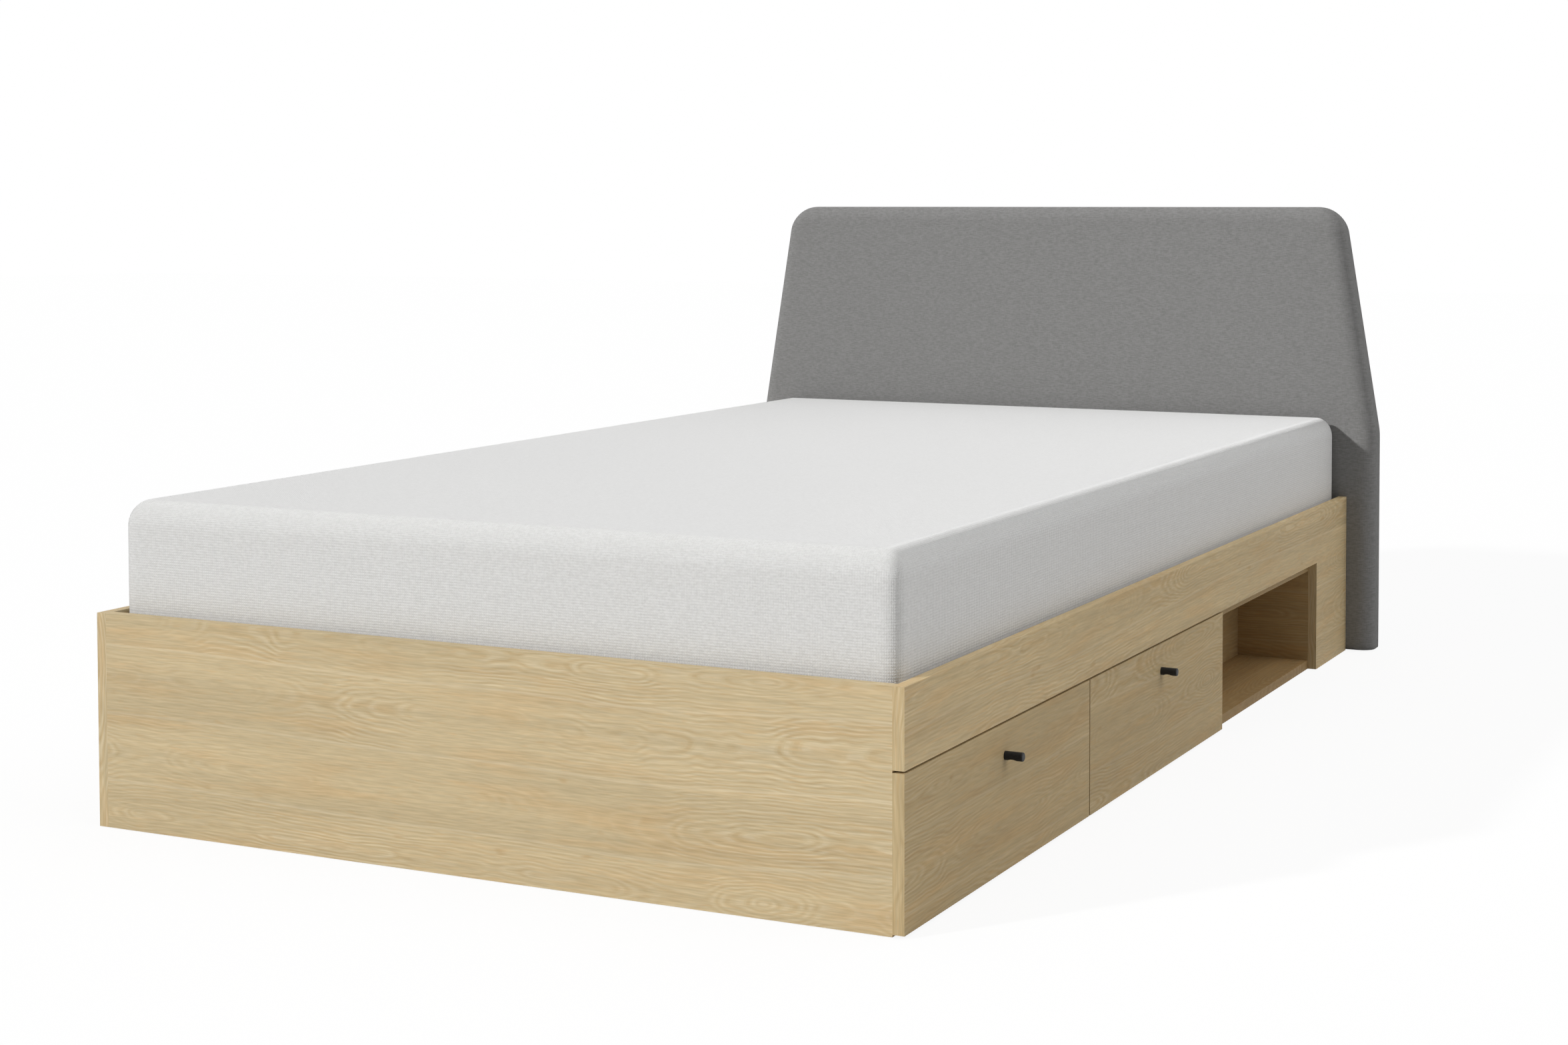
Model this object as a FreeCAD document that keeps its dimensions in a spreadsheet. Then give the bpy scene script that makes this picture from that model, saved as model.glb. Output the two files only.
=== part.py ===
import FreeCAD
import Part
import Sketcher
import os
import re
from FreeCAD import Placement, Rotation, Vector

# Youth bed in laminated board: a low box with two drawers and an open niche on one long side,
# a slatted base, a mattress and an upholstered headboard that stands on the floor.
# The origin is on the floor under the middle of the bed. +X is the drawer side, +Y the head end.

SIZES = {
    # box of laminated board
    "box_width": 1250,
    "box_length": 2036,
    "box_height": 302,
    "board": 16,
    "rail_height": 101,
    "head_leg_width": 215,
    "front_run": 1242,
    "reveal": 3,
    "floor_gap": 3,
    "niche_depth": 137,
    # slatted base
    "cleat_width": 30,
    "cleat_height": 35,
    "slat_thickness": 18,
    "slat_width": 70,
    "slat_end_gap": 4,
    "slat_margin": 20,
    "webbing_width": 30,
    "webbing_thickness": 1.5,
    "webbing_spacing": 640,
    # mattress
    "mattress_thickness": 200,
    "mattress_side_gap": 9,
    "mattress_foot_gap": 15,
    "mattress_head_gap": 5,
    "mattress_edge_radius": 30,
    "cover_thickness": 6,
    "soft_clearance": 0.3,
    # headboard
    "headboard_width": 1351,
    "headboard_taper": 72.5,
    "headboard_height": 868,
    "headboard_thickness": 60,
    "headboard_kink_height": 428,
    "headboard_kink_radius": 220,
    "headboard_corner_radius": 50,
    "headboard_front_radius": 22,
    "headboard_wrap": 12,
    "headboard_board_thickness": 22,
    "lining_thickness": 1.5,
    # drawers
    "drawer_rear_room": 101,
    "drawer_top_room": 39.8,
    "drawer_lift": 20,
    "drawer_side_thickness": 12,
    "drawer_bottom_thickness": 3,
    "groove_depth": 6,
    "groove_height": 10,
    "groove_clearance": 0.2,
    # knobs
    "knob_diameter": 12,
    "knob_length": 26,
    "knob_edge_radius": 1.5,
    "knob_drop": 42.5,
    "scoop_radius": 12,
    "scoop_depth": 2.2,
    "scoop_place": 11,
    # roller runners
    "runner_lift": 18,
    "runner_sheet": 1.2,
    "runner_flange_gap": 1,
    "runner_setback": 3,
    "roller_diameter": 18,
    "roller_width": 6,
    "roller_edge_round": 0.8,
    "roller_end_gap": 3,
    "roller_drop": 4.5,
    "roller_stand_off": 1.9,
    "roller_notch_gap": 1,
    "track_clearance": 0.3,
    "track_edge_gap": 1.2,
    "channel_play": 0.5,
    "axle_diameter": 4,
    "axle_collar_diameter": 8,
    "axle_head_thickness": 0.6,
    "axle_head_gap": 1.4,
    "axle_end_play": 0.2,
    "running_clearance": 0.05,
    # corner joints with cams
    "cam_distance": 34,
    "cam_diameter": 15,
    "cam_cover": 3.5,
    "cam_bolt_diameter": 6,
    "cam_thread_diameter": 5,
    "cam_thread_cover": 6,
    "cam_bolt_reach": 3,
    "joint_low_height": 60,
    "joint_top_margin": 25,
    # screws and dowels
    "wall_screw_diameter": 7,
    "wall_screw_head_diameter": 10,
    "wall_screw_head_height": 3,
    "wall_screw_grip": 34,
    "wall_screw_top_margin": 51,
    "cleat_screw_diameter": 4,
    "cleat_screw_head_diameter": 8,
    "cleat_screw_head_height": 2.5,
    "cleat_screw_grip": 10,
    "cleat_screw_margin": 110,
    "runner_screw_diameter": 3.8,
    "runner_screw_head_diameter": 7,
    "runner_screw_cover": 2.2,
    "runner_screw_margin": 70,
    "runner_screw_stagger": 24,
    "drawer_screw_height": 5,
    "knob_screw_diameter": 4,
    "knob_screw_head_diameter": 8,
    "knob_screw_head_height": 2.5,
    "knob_screw_grip": 10,
    "niche_dowel_diameter": 8,
    "niche_dowel_length": 30,
    "niche_dowel_cover": 6,
    "niche_dowel_inset": 30,
    "drawer_dowel_diameter": 6,
    "drawer_dowel_length": 24,
    "drawer_dowel_cover": 4,
    "drawer_dowel_low_height": 50,
    "drawer_dowel_top_margin": 25,
    "headboard_bolt_diameter": 8,
    "headboard_bolt_head_diameter": 16,
    "headboard_bolt_head_height": 5,
    "headboard_bolt_tip_gap": 4,
    "headboard_bolt_spacing": 800,
    "nut_flange_diameter": 22,
    "nut_flange_height": 1.5,
    "nut_barrel_diameter": 10,
    "nut_barrel_length": 11,
    # fits and cuts
    "fit_clearance": 0.05,
    "cut_overrun": 1,
}

SLAT_COUNT = 14
CLEAT_SCREW_COUNT = 5

# Places and sizes that follow from the driving sizes.
PLACES = {
    "side_inner": "box_width / 2 - board",
    "foot_face": "-(box_length + headboard_thickness) / 2",
    "foot_inner": "foot_face + board",
    "rail_end": "foot_face + box_length",
    "head_inner": "rail_end - board",
    "rail_bottom": "box_height - rail_height",
    "rail_middle": "box_height - rail_height / 2",
    "joint_high_height": "rail_bottom - joint_top_margin",
    "wall_screw_high_height": "rail_bottom - wall_screw_top_margin",
    "wall_screw_length": "board + wall_screw_grip",
    "cam_height": "board - cam_cover",
    "cam_thread_length": "board - cam_thread_cover",
    "niche_dowel_wall_depth": "board - niche_dowel_cover",
    "cleat_top": "rail_bottom + cleat_height",
    "cleat_screw_length": "cleat_width + cleat_screw_grip",
    "cleat_middle": "rail_bottom + cleat_height / 2",
    "slat_top": "cleat_top + slat_thickness",
    "divider_middle": "foot_face + front_run / 2",
    "niche_start": "foot_face + front_run",
    "niche_end": "rail_end - head_leg_width",
    "niche_back_face": "side_inner - niche_depth",
    "niche_back_rear": "niche_back_face - board",
    "mattress_side": "side_inner - mattress_side_gap",
    "mattress_start": "foot_inner + mattress_foot_gap",
    "mattress_end": "rail_end - mattress_head_gap",
    "front_width": "(front_run - reveal) / 2",
    "front_top": "rail_bottom - reveal",
    "bay_width": "front_run / 2 - board * 3 / 2",
    "drawer_gap": "2 * runner_sheet + roller_stand_off + roller_width"
                  " + axle_end_play + axle_head_thickness + axle_head_gap",
    "drawer_width": "bay_width - 2 * drawer_gap",
    "drawer_rear": "board / 2 + drawer_rear_room",
    "drawer_side_bottom": "drawer_lift + runner_sheet",
    "drawer_side_top": "rail_bottom - drawer_top_room",
    "drawer_dowel_depth": "drawer_side_thickness - drawer_dowel_cover",
    "drawer_dowel_high_height": "drawer_side_top - drawer_dowel_top_margin",
    "groove_bottom": "drawer_side_bottom + groove_height",
    "groove_top": "groove_bottom + drawer_bottom_thickness + groove_clearance",
    "runner_front": "side_inner - runner_setback",
    "runner_flange_depth": "drawer_gap - runner_sheet - runner_flange_gap",
    "runner_screw_length": "runner_sheet + drawer_side_thickness - runner_screw_cover",
    "roller_end_margin": "roller_diameter / 2 + roller_end_gap",
    "track_top": "runner_lift + runner_sheet",
    "rear_roller_height": "track_top + track_clearance + roller_diameter / 2",
    "front_roller_height": "rear_roller_height - roller_drop",
    "rear_roller_place": "drawer_rear + roller_end_margin",
    "front_roller_place": "runner_front - roller_end_margin",
    "channel_top": "rear_roller_height + roller_diameter / 2 + channel_play + runner_sheet",
    "channel_middle": "(runner_lift + channel_top) / 2",
    "flange_bottom": "front_roller_height + roller_diameter / 2 + track_clearance",
    "flange_top": "flange_bottom + runner_sheet",
    "roller_notch": "roller_diameter / 2 + roller_notch_gap",
    "knob_height": "front_top - knob_drop",
    "pocket_depth": "headboard_board_thickness + lining_thickness",
    "pad_front": "headboard_thickness - pocket_depth",
    "board_rear": "rail_end + headboard_thickness - lining_thickness",
}

# Turns that carry a piece drawn along +Y to another direction.
TURNS = {
    "+Y": Rotation(),
    "-Y": Rotation(Vector(0, 0, 1), 180),
    "+X": Rotation(Vector(0, 0, 1), -90),
    "-X": Rotation(Vector(0, 0, 1), 90),
}
# The same for a cam joint, whose cam opens towards the second direction.
CAM_TURNS = {
    ("+X", "+Y"): Rotation(Vector(0, 0, 1), Vector(1, 0, 0), Vector(0, 1, 0), "ZXY"),
    ("-X", "+Y"): Rotation(Vector(0, 0, -1), Vector(-1, 0, 0), Vector(0, 1, 0), "ZXY"),
    ("+X", "-Y"): Rotation(Vector(0, 0, -1), Vector(1, 0, 0), Vector(0, -1, 0), "ZXY"),
    ("-X", "-Y"): Rotation(Vector(0, 0, 1), Vector(-1, 0, 0), Vector(0, -1, 0), "ZXY"),
    ("+Y", "-X"): Rotation(Vector(0, 0, 1), Vector(0, 1, 0), Vector(-1, 0, 0), "ZXY"),
    ("-Y", "-X"): Rotation(Vector(0, 0, -1), Vector(0, -1, 0), Vector(-1, 0, 0), "ZXY"),
}

doc = FreeCAD.newDocument("youth_bed")
sheet = doc.addObject("Spreadsheet::Sheet", "sizes")
for row, (size_name, size) in enumerate(SIZES.items(), start=1):
    sheet.set(f"A{row}", size_name)
    sheet.set(f"B{row}", str(size))
    sheet.setAlias(f"B{row}", size_name)
doc.recompute()

nodes = {}


def formula(text):
    """Opens up the named places in a formula and points its sizes at the sheet."""
    def word(match):
        name = match.group()
        if name in PLACES:
            return "(" + formula(PLACES[name]) + ")"
        return "sizes." + name if name in SIZES else name
    return re.sub(r"[a-z_]+", word, text)


def value(text):
    return float(sheet.evalExpression(formula(text)))


def node(name, thing):
    """Keeps a finished piece under the name of its file."""
    thing.Label = name
    nodes[name] = thing
    return thing


def place(thing, x, y, z, turn=None):
    if turn:
        thing.Placement = Placement(Vector(), turn)
    for axis, text in (("x", x), ("y", y), ("z", z)):
        thing.setExpression(f"Placement.Base.{axis}", formula(text))
    return thing


def block(name, x, y, z):
    """A box from pairs of formulas: where it starts and ends along each axis."""
    thing = doc.addObject("Part::Box", name)
    for prop, (start, end) in (("Length", x), ("Width", y), ("Height", z)):
        thing.setExpression(prop, formula(f"({end}) - ({start})"))
    return place(thing, x[0], y[0], z[0])


def group(name, things):
    thing = doc.addObject("Part::Compound", name)
    thing.Links = things
    return thing


def cut(name, base, tools):
    thing = doc.addObject("Part::Cut", name)
    thing.Base = base
    thing.Tool = tools[0] if len(tools) == 1 else group(name + "_tools", tools)
    return thing


def new_body(name):
    return doc.addObject("PartDesign::Body", name)


def new_sketch(body, role):
    sketch = body.newObject("Sketcher::SketchObject", body.Name + "_sketch")
    plane = next(feature for feature in body.Origin.OriginFeatures if feature.Role == role)
    sketch.AttachmentSupport = [(plane, "")]
    sketch.MapMode = "FlatFace"
    return sketch


def outline(body, role, points):
    """A closed outline of straight lines whose corners are held by formulas."""
    sketch = new_sketch(body, role)
    corners = [Vector(value(x), value(y), 0) for x, y in points]
    for start, end in zip(corners, corners[1:] + corners[:1]):
        sketch.addGeometry(Part.LineSegment(start, end), False)
    for i, (texts, corner) in enumerate(zip(points, corners)):
        following = (i + 1) % len(points)
        sketch.addConstraint(Sketcher.Constraint("Coincident", i, 2, following, 1))
        for kind, text, size in zip(("DistanceX", "DistanceY"), texts, corner):
            index = sketch.addConstraint(Sketcher.Constraint(kind, -1, 1, i, 1, size))
            sketch.setExpression(f"Constraints[{index}]", formula(text))
    return sketch


def rectangle(x, y):
    return [(x[0], y[0]), (x[1], y[0]), (x[1], y[1]), (x[0], y[1])]


def pad(body, sketch, length, backwards=False):
    feature = body.newObject("PartDesign::Pad", body.Name + "_pad")
    feature.Profile = sketch
    feature.Reversed = backwards
    feature.setExpression("Length", formula(length))
    doc.recompute()
    return feature


def turned(name, points):
    """A piece turned about Y from an outline of (radius, place along Y) points."""
    body = new_body(name)
    sketch = outline(body, "XY_Plane", points)
    feature = body.newObject("PartDesign::Revolution", name + "_turned")
    feature.Profile = sketch
    feature.ReferenceAxis = (sketch, ["V_Axis"])
    feature.Angle = 360
    return body


def rounded(body, base, chosen, radius):
    """Rounds the edges of a feature for which chosen(edge) is true."""
    edges = [f"Edge{i}" for i, edge in enumerate(base.Shape.Edges, start=1) if chosen(edge)]
    feature = body.newObject("PartDesign::Fillet", body.Name + "_rounding")
    feature.Base = (base, edges)
    feature.setExpression("Radius", formula(radius))
    doc.recompute()
    return feature


def copies(name, piece, spots):
    """Copies of one piece at (x, y, z, turn) spots, as one group."""
    links = []
    for i, (x, y, z, turn) in enumerate(spots, start=1):
        link = doc.addObject("App::Link", f"{name}_{i}")
        link.LinkedObject = piece
        links.append(place(link, x, y, z, turn))
    return group(name, links)


def screw(name, head, shank, head_height, length):
    """A countersunk screw along +Y, with the flat of its head at the origin."""
    return turned(name, [
        ("0", "0"), (f"{head} / 2", "0"), (f"{shank} / 2", head_height), (f"{shank} / 2", length),
        ("0", length)])


def screw_bore(name, head, shank, head_height, length):
    """The hole of such a screw, with a clearance all round and open past the head."""
    head_radius = f"{head} / 2 + fit_clearance"
    shank_radius = f"{shank} / 2 + fit_clearance"
    end = f"{length} + fit_clearance"
    return turned(name, [
        ("0", "-cut_overrun"), (head_radius, "-cut_overrun"), (head_radius, "0"),
        (shank_radius, head_height), (shank_radius, end), ("0", end)])


def stepped(name, steps, clearance="0"):
    """A round piece along +Y in steps of (diameter, start, end), grown by a clearance for its hole."""
    points = [("0", steps[0][1])]
    for diameter, start, end in steps:
        points += [(f"{diameter} / 2 + {clearance}", start), (f"{diameter} / 2 + {clearance}", end)]
    points.append(("0", steps[-1][2]))
    return turned(name, points)


# Cam joints: a bolt in one board reaches a cam sunk in the face of the board that butts on it.
# Each is drawn with its bolt along +Y from the seam and its cam opening towards +Z.

CAM_BOLT_END = "cam_distance + cam_bolt_reach"
CAM_FLOOR = "board / 2 - cam_height"

cam_bolt = stepped("cam_bolt", [
    ("cam_thread_diameter", "-cam_thread_length", "0"),
    ("cam_bolt_diameter", "0", CAM_BOLT_END),
])
cam_bolt_bore = stepped("cam_bolt_bore", [
    ("cam_thread_diameter", "-cam_thread_length - fit_clearance", "0"),
    ("cam_bolt_diameter", "0", f"{CAM_BOLT_END} + fit_clearance"),
], "fit_clearance")


def cam_cylinder(name, clearance, overrun):
    thing = doc.addObject("Part::Cylinder", name)
    thing.setExpression("Radius", formula(f"cam_diameter / 2 + {clearance}"))
    thing.setExpression("Height", formula(f"cam_height + {clearance} + {overrun}"))
    return place(thing, "0", "cam_distance", f"{CAM_FLOOR} - {clearance}")


cam_housing = cut("cam_housing", cam_cylinder("cam_blank", "0", "0"), [cam_bolt_bore])
cam_hole = doc.addObject("Part::Fuse", "cam_hole")
cam_hole.Base = cam_bolt_bore
cam_hole.Tool = cam_cylinder("cam_seat", "fit_clearance", "cut_overrun")


def cam_spots():
    """Seam middles of the cam joints, with the bolt's way and the side that the cam opens to."""
    foot_middle = "foot_face + board / 2"
    head_middle = "rail_end - board / 2"
    leg_wall_middle = "niche_end + board / 2"
    low, high = "joint_low_height", "joint_high_height"
    seams = [("-side_inner", foot_middle, low, "+X", "+Y"),
             ("-side_inner", foot_middle, "rail_middle", "+X", "+Y"),
             ("side_inner", foot_middle, "rail_middle", "-X", "+Y")]
    for height in (low, high):
        seams += [("-side_inner", head_middle, height, "+X", "-Y"),
                  ("side_inner", head_middle, height, "-X", "-Y"),
                  ("side_inner", leg_wall_middle, height, "-X", "+Y"),
                  ("0", "foot_inner", height, "+Y", "-X"),
                  ("0", "head_inner", height, "-Y", "-X")]
    return [(x, y, z, CAM_TURNS[way, opening]) for x, y, z, way, opening in seams]


node("cam_bolts", copies("cam_bolts", cam_bolt, cam_spots()))
node("cam_housings", copies("cam_housings", cam_housing, cam_spots()))
cam_holes = copies("cam_holes", cam_hole, cam_spots())

# Screws through the centre partition into the ends of the three cross walls.

WALL_SCREW = [("wall_screw_head_diameter", "0", "wall_screw_head_height"),
              ("wall_screw_diameter", "wall_screw_head_height", "wall_screw_length")]
WALL_SCREW_BORE = [("wall_screw_head_diameter", "-cut_overrun", "wall_screw_head_height"),
                   ("wall_screw_diameter", "wall_screw_head_height",
                    "wall_screw_length + fit_clearance")]
WALL_MIDDLES = ["divider_middle", "niche_start - board / 2", "niche_end + board / 2"]
wall_screw_spots = [("-board / 2", middle, height, TURNS["+X"])
                    for middle in WALL_MIDDLES
                    for height in ("joint_low_height", "wall_screw_high_height")]
node("partition_screws", copies("partition_screws", stepped("wall_screw", WALL_SCREW),
                                wall_screw_spots))
wall_screw_bore = stepped("wall_screw_bore", WALL_SCREW_BORE, "fit_clearance")
wall_screw_holes = copies("wall_screw_holes", wall_screw_bore, wall_screw_spots)

# Dowels that hold the niche boards between the two niche walls.

NICHE_DOWEL = [("niche_dowel_diameter", "-niche_dowel_wall_depth",
                "niche_dowel_length - niche_dowel_wall_depth")]
NICHE_DOWEL_BORE = [("niche_dowel_diameter", "-niche_dowel_wall_depth - fit_clearance",
                     "niche_dowel_length - niche_dowel_wall_depth + fit_clearance")]
niche_dowel_places = [("side_inner - niche_dowel_inset", "board / 2"),
                      ("niche_back_rear + niche_dowel_inset", "board / 2"),
                      ("side_inner - niche_dowel_inset", "rail_bottom - board / 2"),
                      ("niche_back_rear + niche_dowel_inset", "rail_bottom - board / 2"),
                      ("niche_back_face - board / 2", "board + niche_dowel_inset"),
                      ("niche_back_face - board / 2", "rail_bottom - board - niche_dowel_inset")]
niche_dowel_spots = [(x, seam, z, TURNS[way])
                     for x, z in niche_dowel_places
                     for seam, way in (("niche_start", "+Y"), ("niche_end", "-Y"))]
node("niche_dowels", copies("niche_dowels", stepped("niche_dowel", NICHE_DOWEL),
                            niche_dowel_spots))
niche_dowel_bore = stepped("niche_dowel_bore", NICHE_DOWEL_BORE, "fit_clearance")
niche_dowel_holes = copies("niche_dowel_holes", niche_dowel_bore, niche_dowel_spots)

# Screws through the slat cleats into the side panels.

CLEAT_SCREW = ("cleat_screw_head_diameter", "cleat_screw_diameter", "cleat_screw_head_height",
               "cleat_screw_length")
cleat_screw_span = "(head_inner - foot_inner - 2 * cleat_screw_margin)"
cleat_screw_spots = [(f"({sign}) * (side_inner - cleat_width)",
                      f"foot_inner + cleat_screw_margin"
                      f" + {cleat_screw_span} * {i} / {CLEAT_SCREW_COUNT - 1}",
                      "cleat_middle", TURNS[way])
                     for sign, way in ((1, "+X"), (-1, "-X"))
                     for i in range(CLEAT_SCREW_COUNT)]
node("cleat_screws", copies("cleat_screws", screw("cleat_screw", *CLEAT_SCREW),
                            cleat_screw_spots))
cleat_screw_bore = screw_bore("cleat_screw_bore", *CLEAT_SCREW)
cleat_screw_holes = copies("cleat_screw_holes", cleat_screw_bore, cleat_screw_spots)

# Bolts and T-nuts between the head cross panel and the headboard.

headboard_bolt_spots = [(f"({sign}) * headboard_bolt_spacing / 2", height)
                        for sign in (1, -1)
                        for height in ("joint_low_height", "joint_high_height")]
BOLT_END = "board + pad_front + headboard_board_thickness - headboard_bolt_tip_gap"
headboard_bolt = stepped("headboard_bolt", [
    ("headboard_bolt_head_diameter", "-headboard_bolt_head_height", "0"),
    ("headboard_bolt_diameter", "0", BOLT_END),
])
headboard_bolt_bore = stepped("headboard_bolt_bore", [
    ("headboard_bolt_diameter", "-cut_overrun", BOLT_END),
], "fit_clearance")
nut_blank = stepped("nut_blank", [
    ("nut_flange_diameter", "0", "nut_flange_height"),
    ("nut_barrel_diameter", "nut_flange_height", "nut_flange_height + nut_barrel_length"),
])
nut_seat = stepped("nut_seat", [
    ("nut_flange_diameter", "-cut_overrun", "nut_flange_height"),
    ("nut_barrel_diameter", "nut_flange_height", "headboard_board_thickness + cut_overrun"),
], "fit_clearance")
nut_bore = stepped("nut_bore", [
    ("headboard_bolt_diameter", "-cut_overrun",
     "nut_flange_height + nut_barrel_length + cut_overrun"),
], "fit_clearance")
headboard_nut = cut("headboard_nut", nut_blank, [nut_bore])
bolt_places = [(x, "head_inner", z, TURNS["+Y"]) for x, z in headboard_bolt_spots]
nut_places = [(x, "board_rear", z, TURNS["-Y"]) for x, z in headboard_bolt_spots]
node("headboard_bolts", copies("headboard_bolts", headboard_bolt, bolt_places))
node("headboard_nuts", copies("headboard_nuts", headboard_nut, nut_places))
bolt_holes = copies("bolt_holes", headboard_bolt_bore, bolt_places)
nut_holes = copies("nut_holes", nut_seat, nut_places)

# Runner screws, the same for the profiles in the box and on the drawers.

RUNNER_SCREW = ("runner_screw_head_diameter", "runner_screw_diameter", "runner_sheet",
                "runner_screw_length")
runner_screw = screw("runner_screw", *RUNNER_SCREW)
runner_screw_bore = screw_bore("runner_screw_bore", *RUNNER_SCREW)

# The two drawer bays: where each starts, and where its drawer front starts.
BAYS = {1: ("foot_inner", "foot_face"),
        2: ("divider_middle + board / 2", "foot_face + front_width + reveal")}
# The two sides of a bay, with the way from the wall to the drawer.
SIDES = {"foot": 1, "head": -1}


def across(bay, side, distance):
    """A place at a distance from the wall of a bay's side, towards its drawer."""
    wall = bay if SIDES[side] > 0 else f"{bay} + bay_width"
    return f"{wall} + ({SIDES[side]}) * ({distance})"


def runner_screw_places(side):
    stagger = "runner_screw_stagger" if side == "head" else "0"
    return [f"drawer_rear + runner_screw_margin + {stagger}",
            f"runner_front - runner_screw_margin - {stagger}"]


def way_inwards(side):
    return TURNS["+Y" if side == "foot" else "-Y"]


def way_outwards(side):
    return TURNS["-Y" if side == "foot" else "+Y"]


cabinet_screw_spots = [(x, across(bay, side, "runner_sheet"), "channel_middle", way_outwards(side))
                       for bay, _ in BAYS.values()
                       for side in SIDES
                       for x in runner_screw_places(side)]
node("cabinet_runner_screws", copies("cabinet_runner_screws", runner_screw, cabinet_screw_spots))
cabinet_screw_holes = copies("cabinet_screw_holes", runner_screw_bore, cabinet_screw_spots)

# Roller axles: a rivet through the profile's sheet, a collar, the roller's seat and a head.

AXLE_SEAT_START = "runner_sheet + roller_stand_off - axle_end_play"
AXLE_SEAT_END = "runner_sheet + roller_stand_off + roller_width + axle_end_play"
axle = stepped("axle", [
    ("axle_diameter", "0", "runner_sheet"),
    ("axle_collar_diameter", "runner_sheet", AXLE_SEAT_START),
    ("axle_diameter", AXLE_SEAT_START, AXLE_SEAT_END),
    ("axle_collar_diameter", AXLE_SEAT_END, f"{AXLE_SEAT_END} + axle_head_thickness"),
])
axle_bore = stepped("axle_bore", [("axle_diameter", "-cut_overrun", "runner_sheet + cut_overrun")],
                    "fit_clearance")
cabinet_axle_spots = [("front_roller_place", across(bay, side, "0"), "front_roller_height",
                       way_inwards(side))
                      for bay, _ in BAYS.values()
                      for side in SIDES]
node("cabinet_roller_axles", copies("cabinet_roller_axles", axle, cabinet_axle_spots))
cabinet_axle_holes = copies("cabinet_axle_holes", axle_bore, cabinet_axle_spots)

# A roller with rounded shoulders, its rear face at the origin and its axis along +Y.

ROLLER_BORE = "axle_diameter / 2 + running_clearance"
roller = turned("roller", [
    (ROLLER_BORE, "0"),
    ("roller_diameter / 2 - roller_edge_round", "0"),
    ("roller_diameter / 2", "roller_edge_round"),
    ("roller_diameter / 2", "roller_width - roller_edge_round"),
    ("roller_diameter / 2 - roller_edge_round", "roller_width"),
    (ROLLER_BORE, "roller_width"),
])


def board(name, x, y, z, holes=()):
    """A plain board with the holes of the fasteners that reach it."""
    blank = block(name + "_blank" if holes else name, x, y, z)
    return node(name, cut(name, blank, list(holes)) if holes else blank)


def make_box():
    """The boards of the bed's box, all standing on the floor but for the niche's top and back."""
    between_sides = ("-side_inner", "side_inner")
    from_partition = ("board / 2", "side_inner")
    board("footboard", between_sides, ("foot_face", "foot_inner"), ("0", "box_height"),
          [cam_holes, cabinet_screw_holes])
    board("left_side_panel", ("-box_width / 2", "-side_inner"), ("foot_face", "rail_end"),
          ("0", "box_height"), [cam_holes, cleat_screw_holes])
    board("head_cross_panel", between_sides, ("head_inner", "rail_end"), ("0", "cleat_top"),
          [cam_holes, bolt_holes])
    board("centre_partition", ("-board / 2", "board / 2"), ("foot_inner", "head_inner"),
          ("0", "cleat_top"), [cam_holes, wall_screw_holes])
    board("drawer_divider", from_partition,
          ("divider_middle - board / 2", "divider_middle + board / 2"), ("0", "rail_bottom"),
          [wall_screw_holes, cabinet_screw_holes])
    board("niche_foot_wall", from_partition, ("niche_start - board", "niche_start"),
          ("0", "rail_bottom"), [wall_screw_holes, cabinet_screw_holes, niche_dowel_holes])
    board("niche_head_wall", from_partition, ("niche_end", "niche_end + board"),
          ("0", "rail_bottom"), [wall_screw_holes, cam_holes, niche_dowel_holes])
    niche_length = ("niche_start", "niche_end")
    board("niche_bottom", ("niche_back_rear", "side_inner"), niche_length, ("0", "board"),
          [niche_dowel_holes])
    board("niche_top", ("niche_back_rear", "side_inner"), niche_length,
          ("rail_bottom - board", "rail_bottom"), [niche_dowel_holes])
    board("niche_back", ("niche_back_rear", "niche_back_face"), niche_length,
          ("board", "rail_bottom - board"), [niche_dowel_holes])


def make_right_side_panel():
    """The rail over the drawers and the niche, cut from one board with the head-end leg."""
    body = new_body("right_side_blank")
    sketch = outline(body, "YZ_Plane", [
        ("foot_face", "rail_bottom"), ("niche_end", "rail_bottom"), ("niche_end", "0"),
        ("rail_end", "0"), ("rail_end", "box_height"), ("foot_face", "box_height")])
    pad(body, sketch, "board")
    place(body, "side_inner", "0", "0")
    node("right_side_panel", cut("right_side_panel", body, [cam_holes, cleat_screw_holes]))


def make_slatted_base():
    """Cleats on both side panels, slats across them and two tapes under the slats."""
    length = ("foot_inner", "head_inner")
    height = ("rail_bottom", "cleat_top")
    board("left_slat_cleat", ("-side_inner", "-side_inner + cleat_width"), length, height,
          [cleat_screw_holes])
    board("right_slat_cleat", ("side_inner - cleat_width", "side_inner"), length, height,
          [cleat_screw_holes])
    first = "foot_inner + slat_margin"
    pitch = f"(head_inner - foot_inner - 2 * slat_margin - slat_width) / {SLAT_COUNT - 1}"
    slats = []
    for i in range(SLAT_COUNT):
        start = f"{first} + {pitch} * {i}"
        slats.append(block(f"slat_{i + 1}", ("-side_inner + slat_end_gap", "side_inner - slat_end_gap"),
                           (start, f"{start} + slat_width"), ("cleat_top", "slat_top")))
    node("slats", group("slats", slats))
    tapes = [block(f"tape_{i + 1}",
                   (f"{sign} * webbing_spacing / 2 - webbing_width / 2",
                    f"{sign} * webbing_spacing / 2 + webbing_width / 2"),
                   (first, "head_inner - slat_margin"),
                   ("cleat_top - webbing_thickness", "cleat_top"))
             for i, sign in enumerate(("-1", "1"))]
    node("slat_webbing", group("slat_webbing", tapes))


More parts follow.
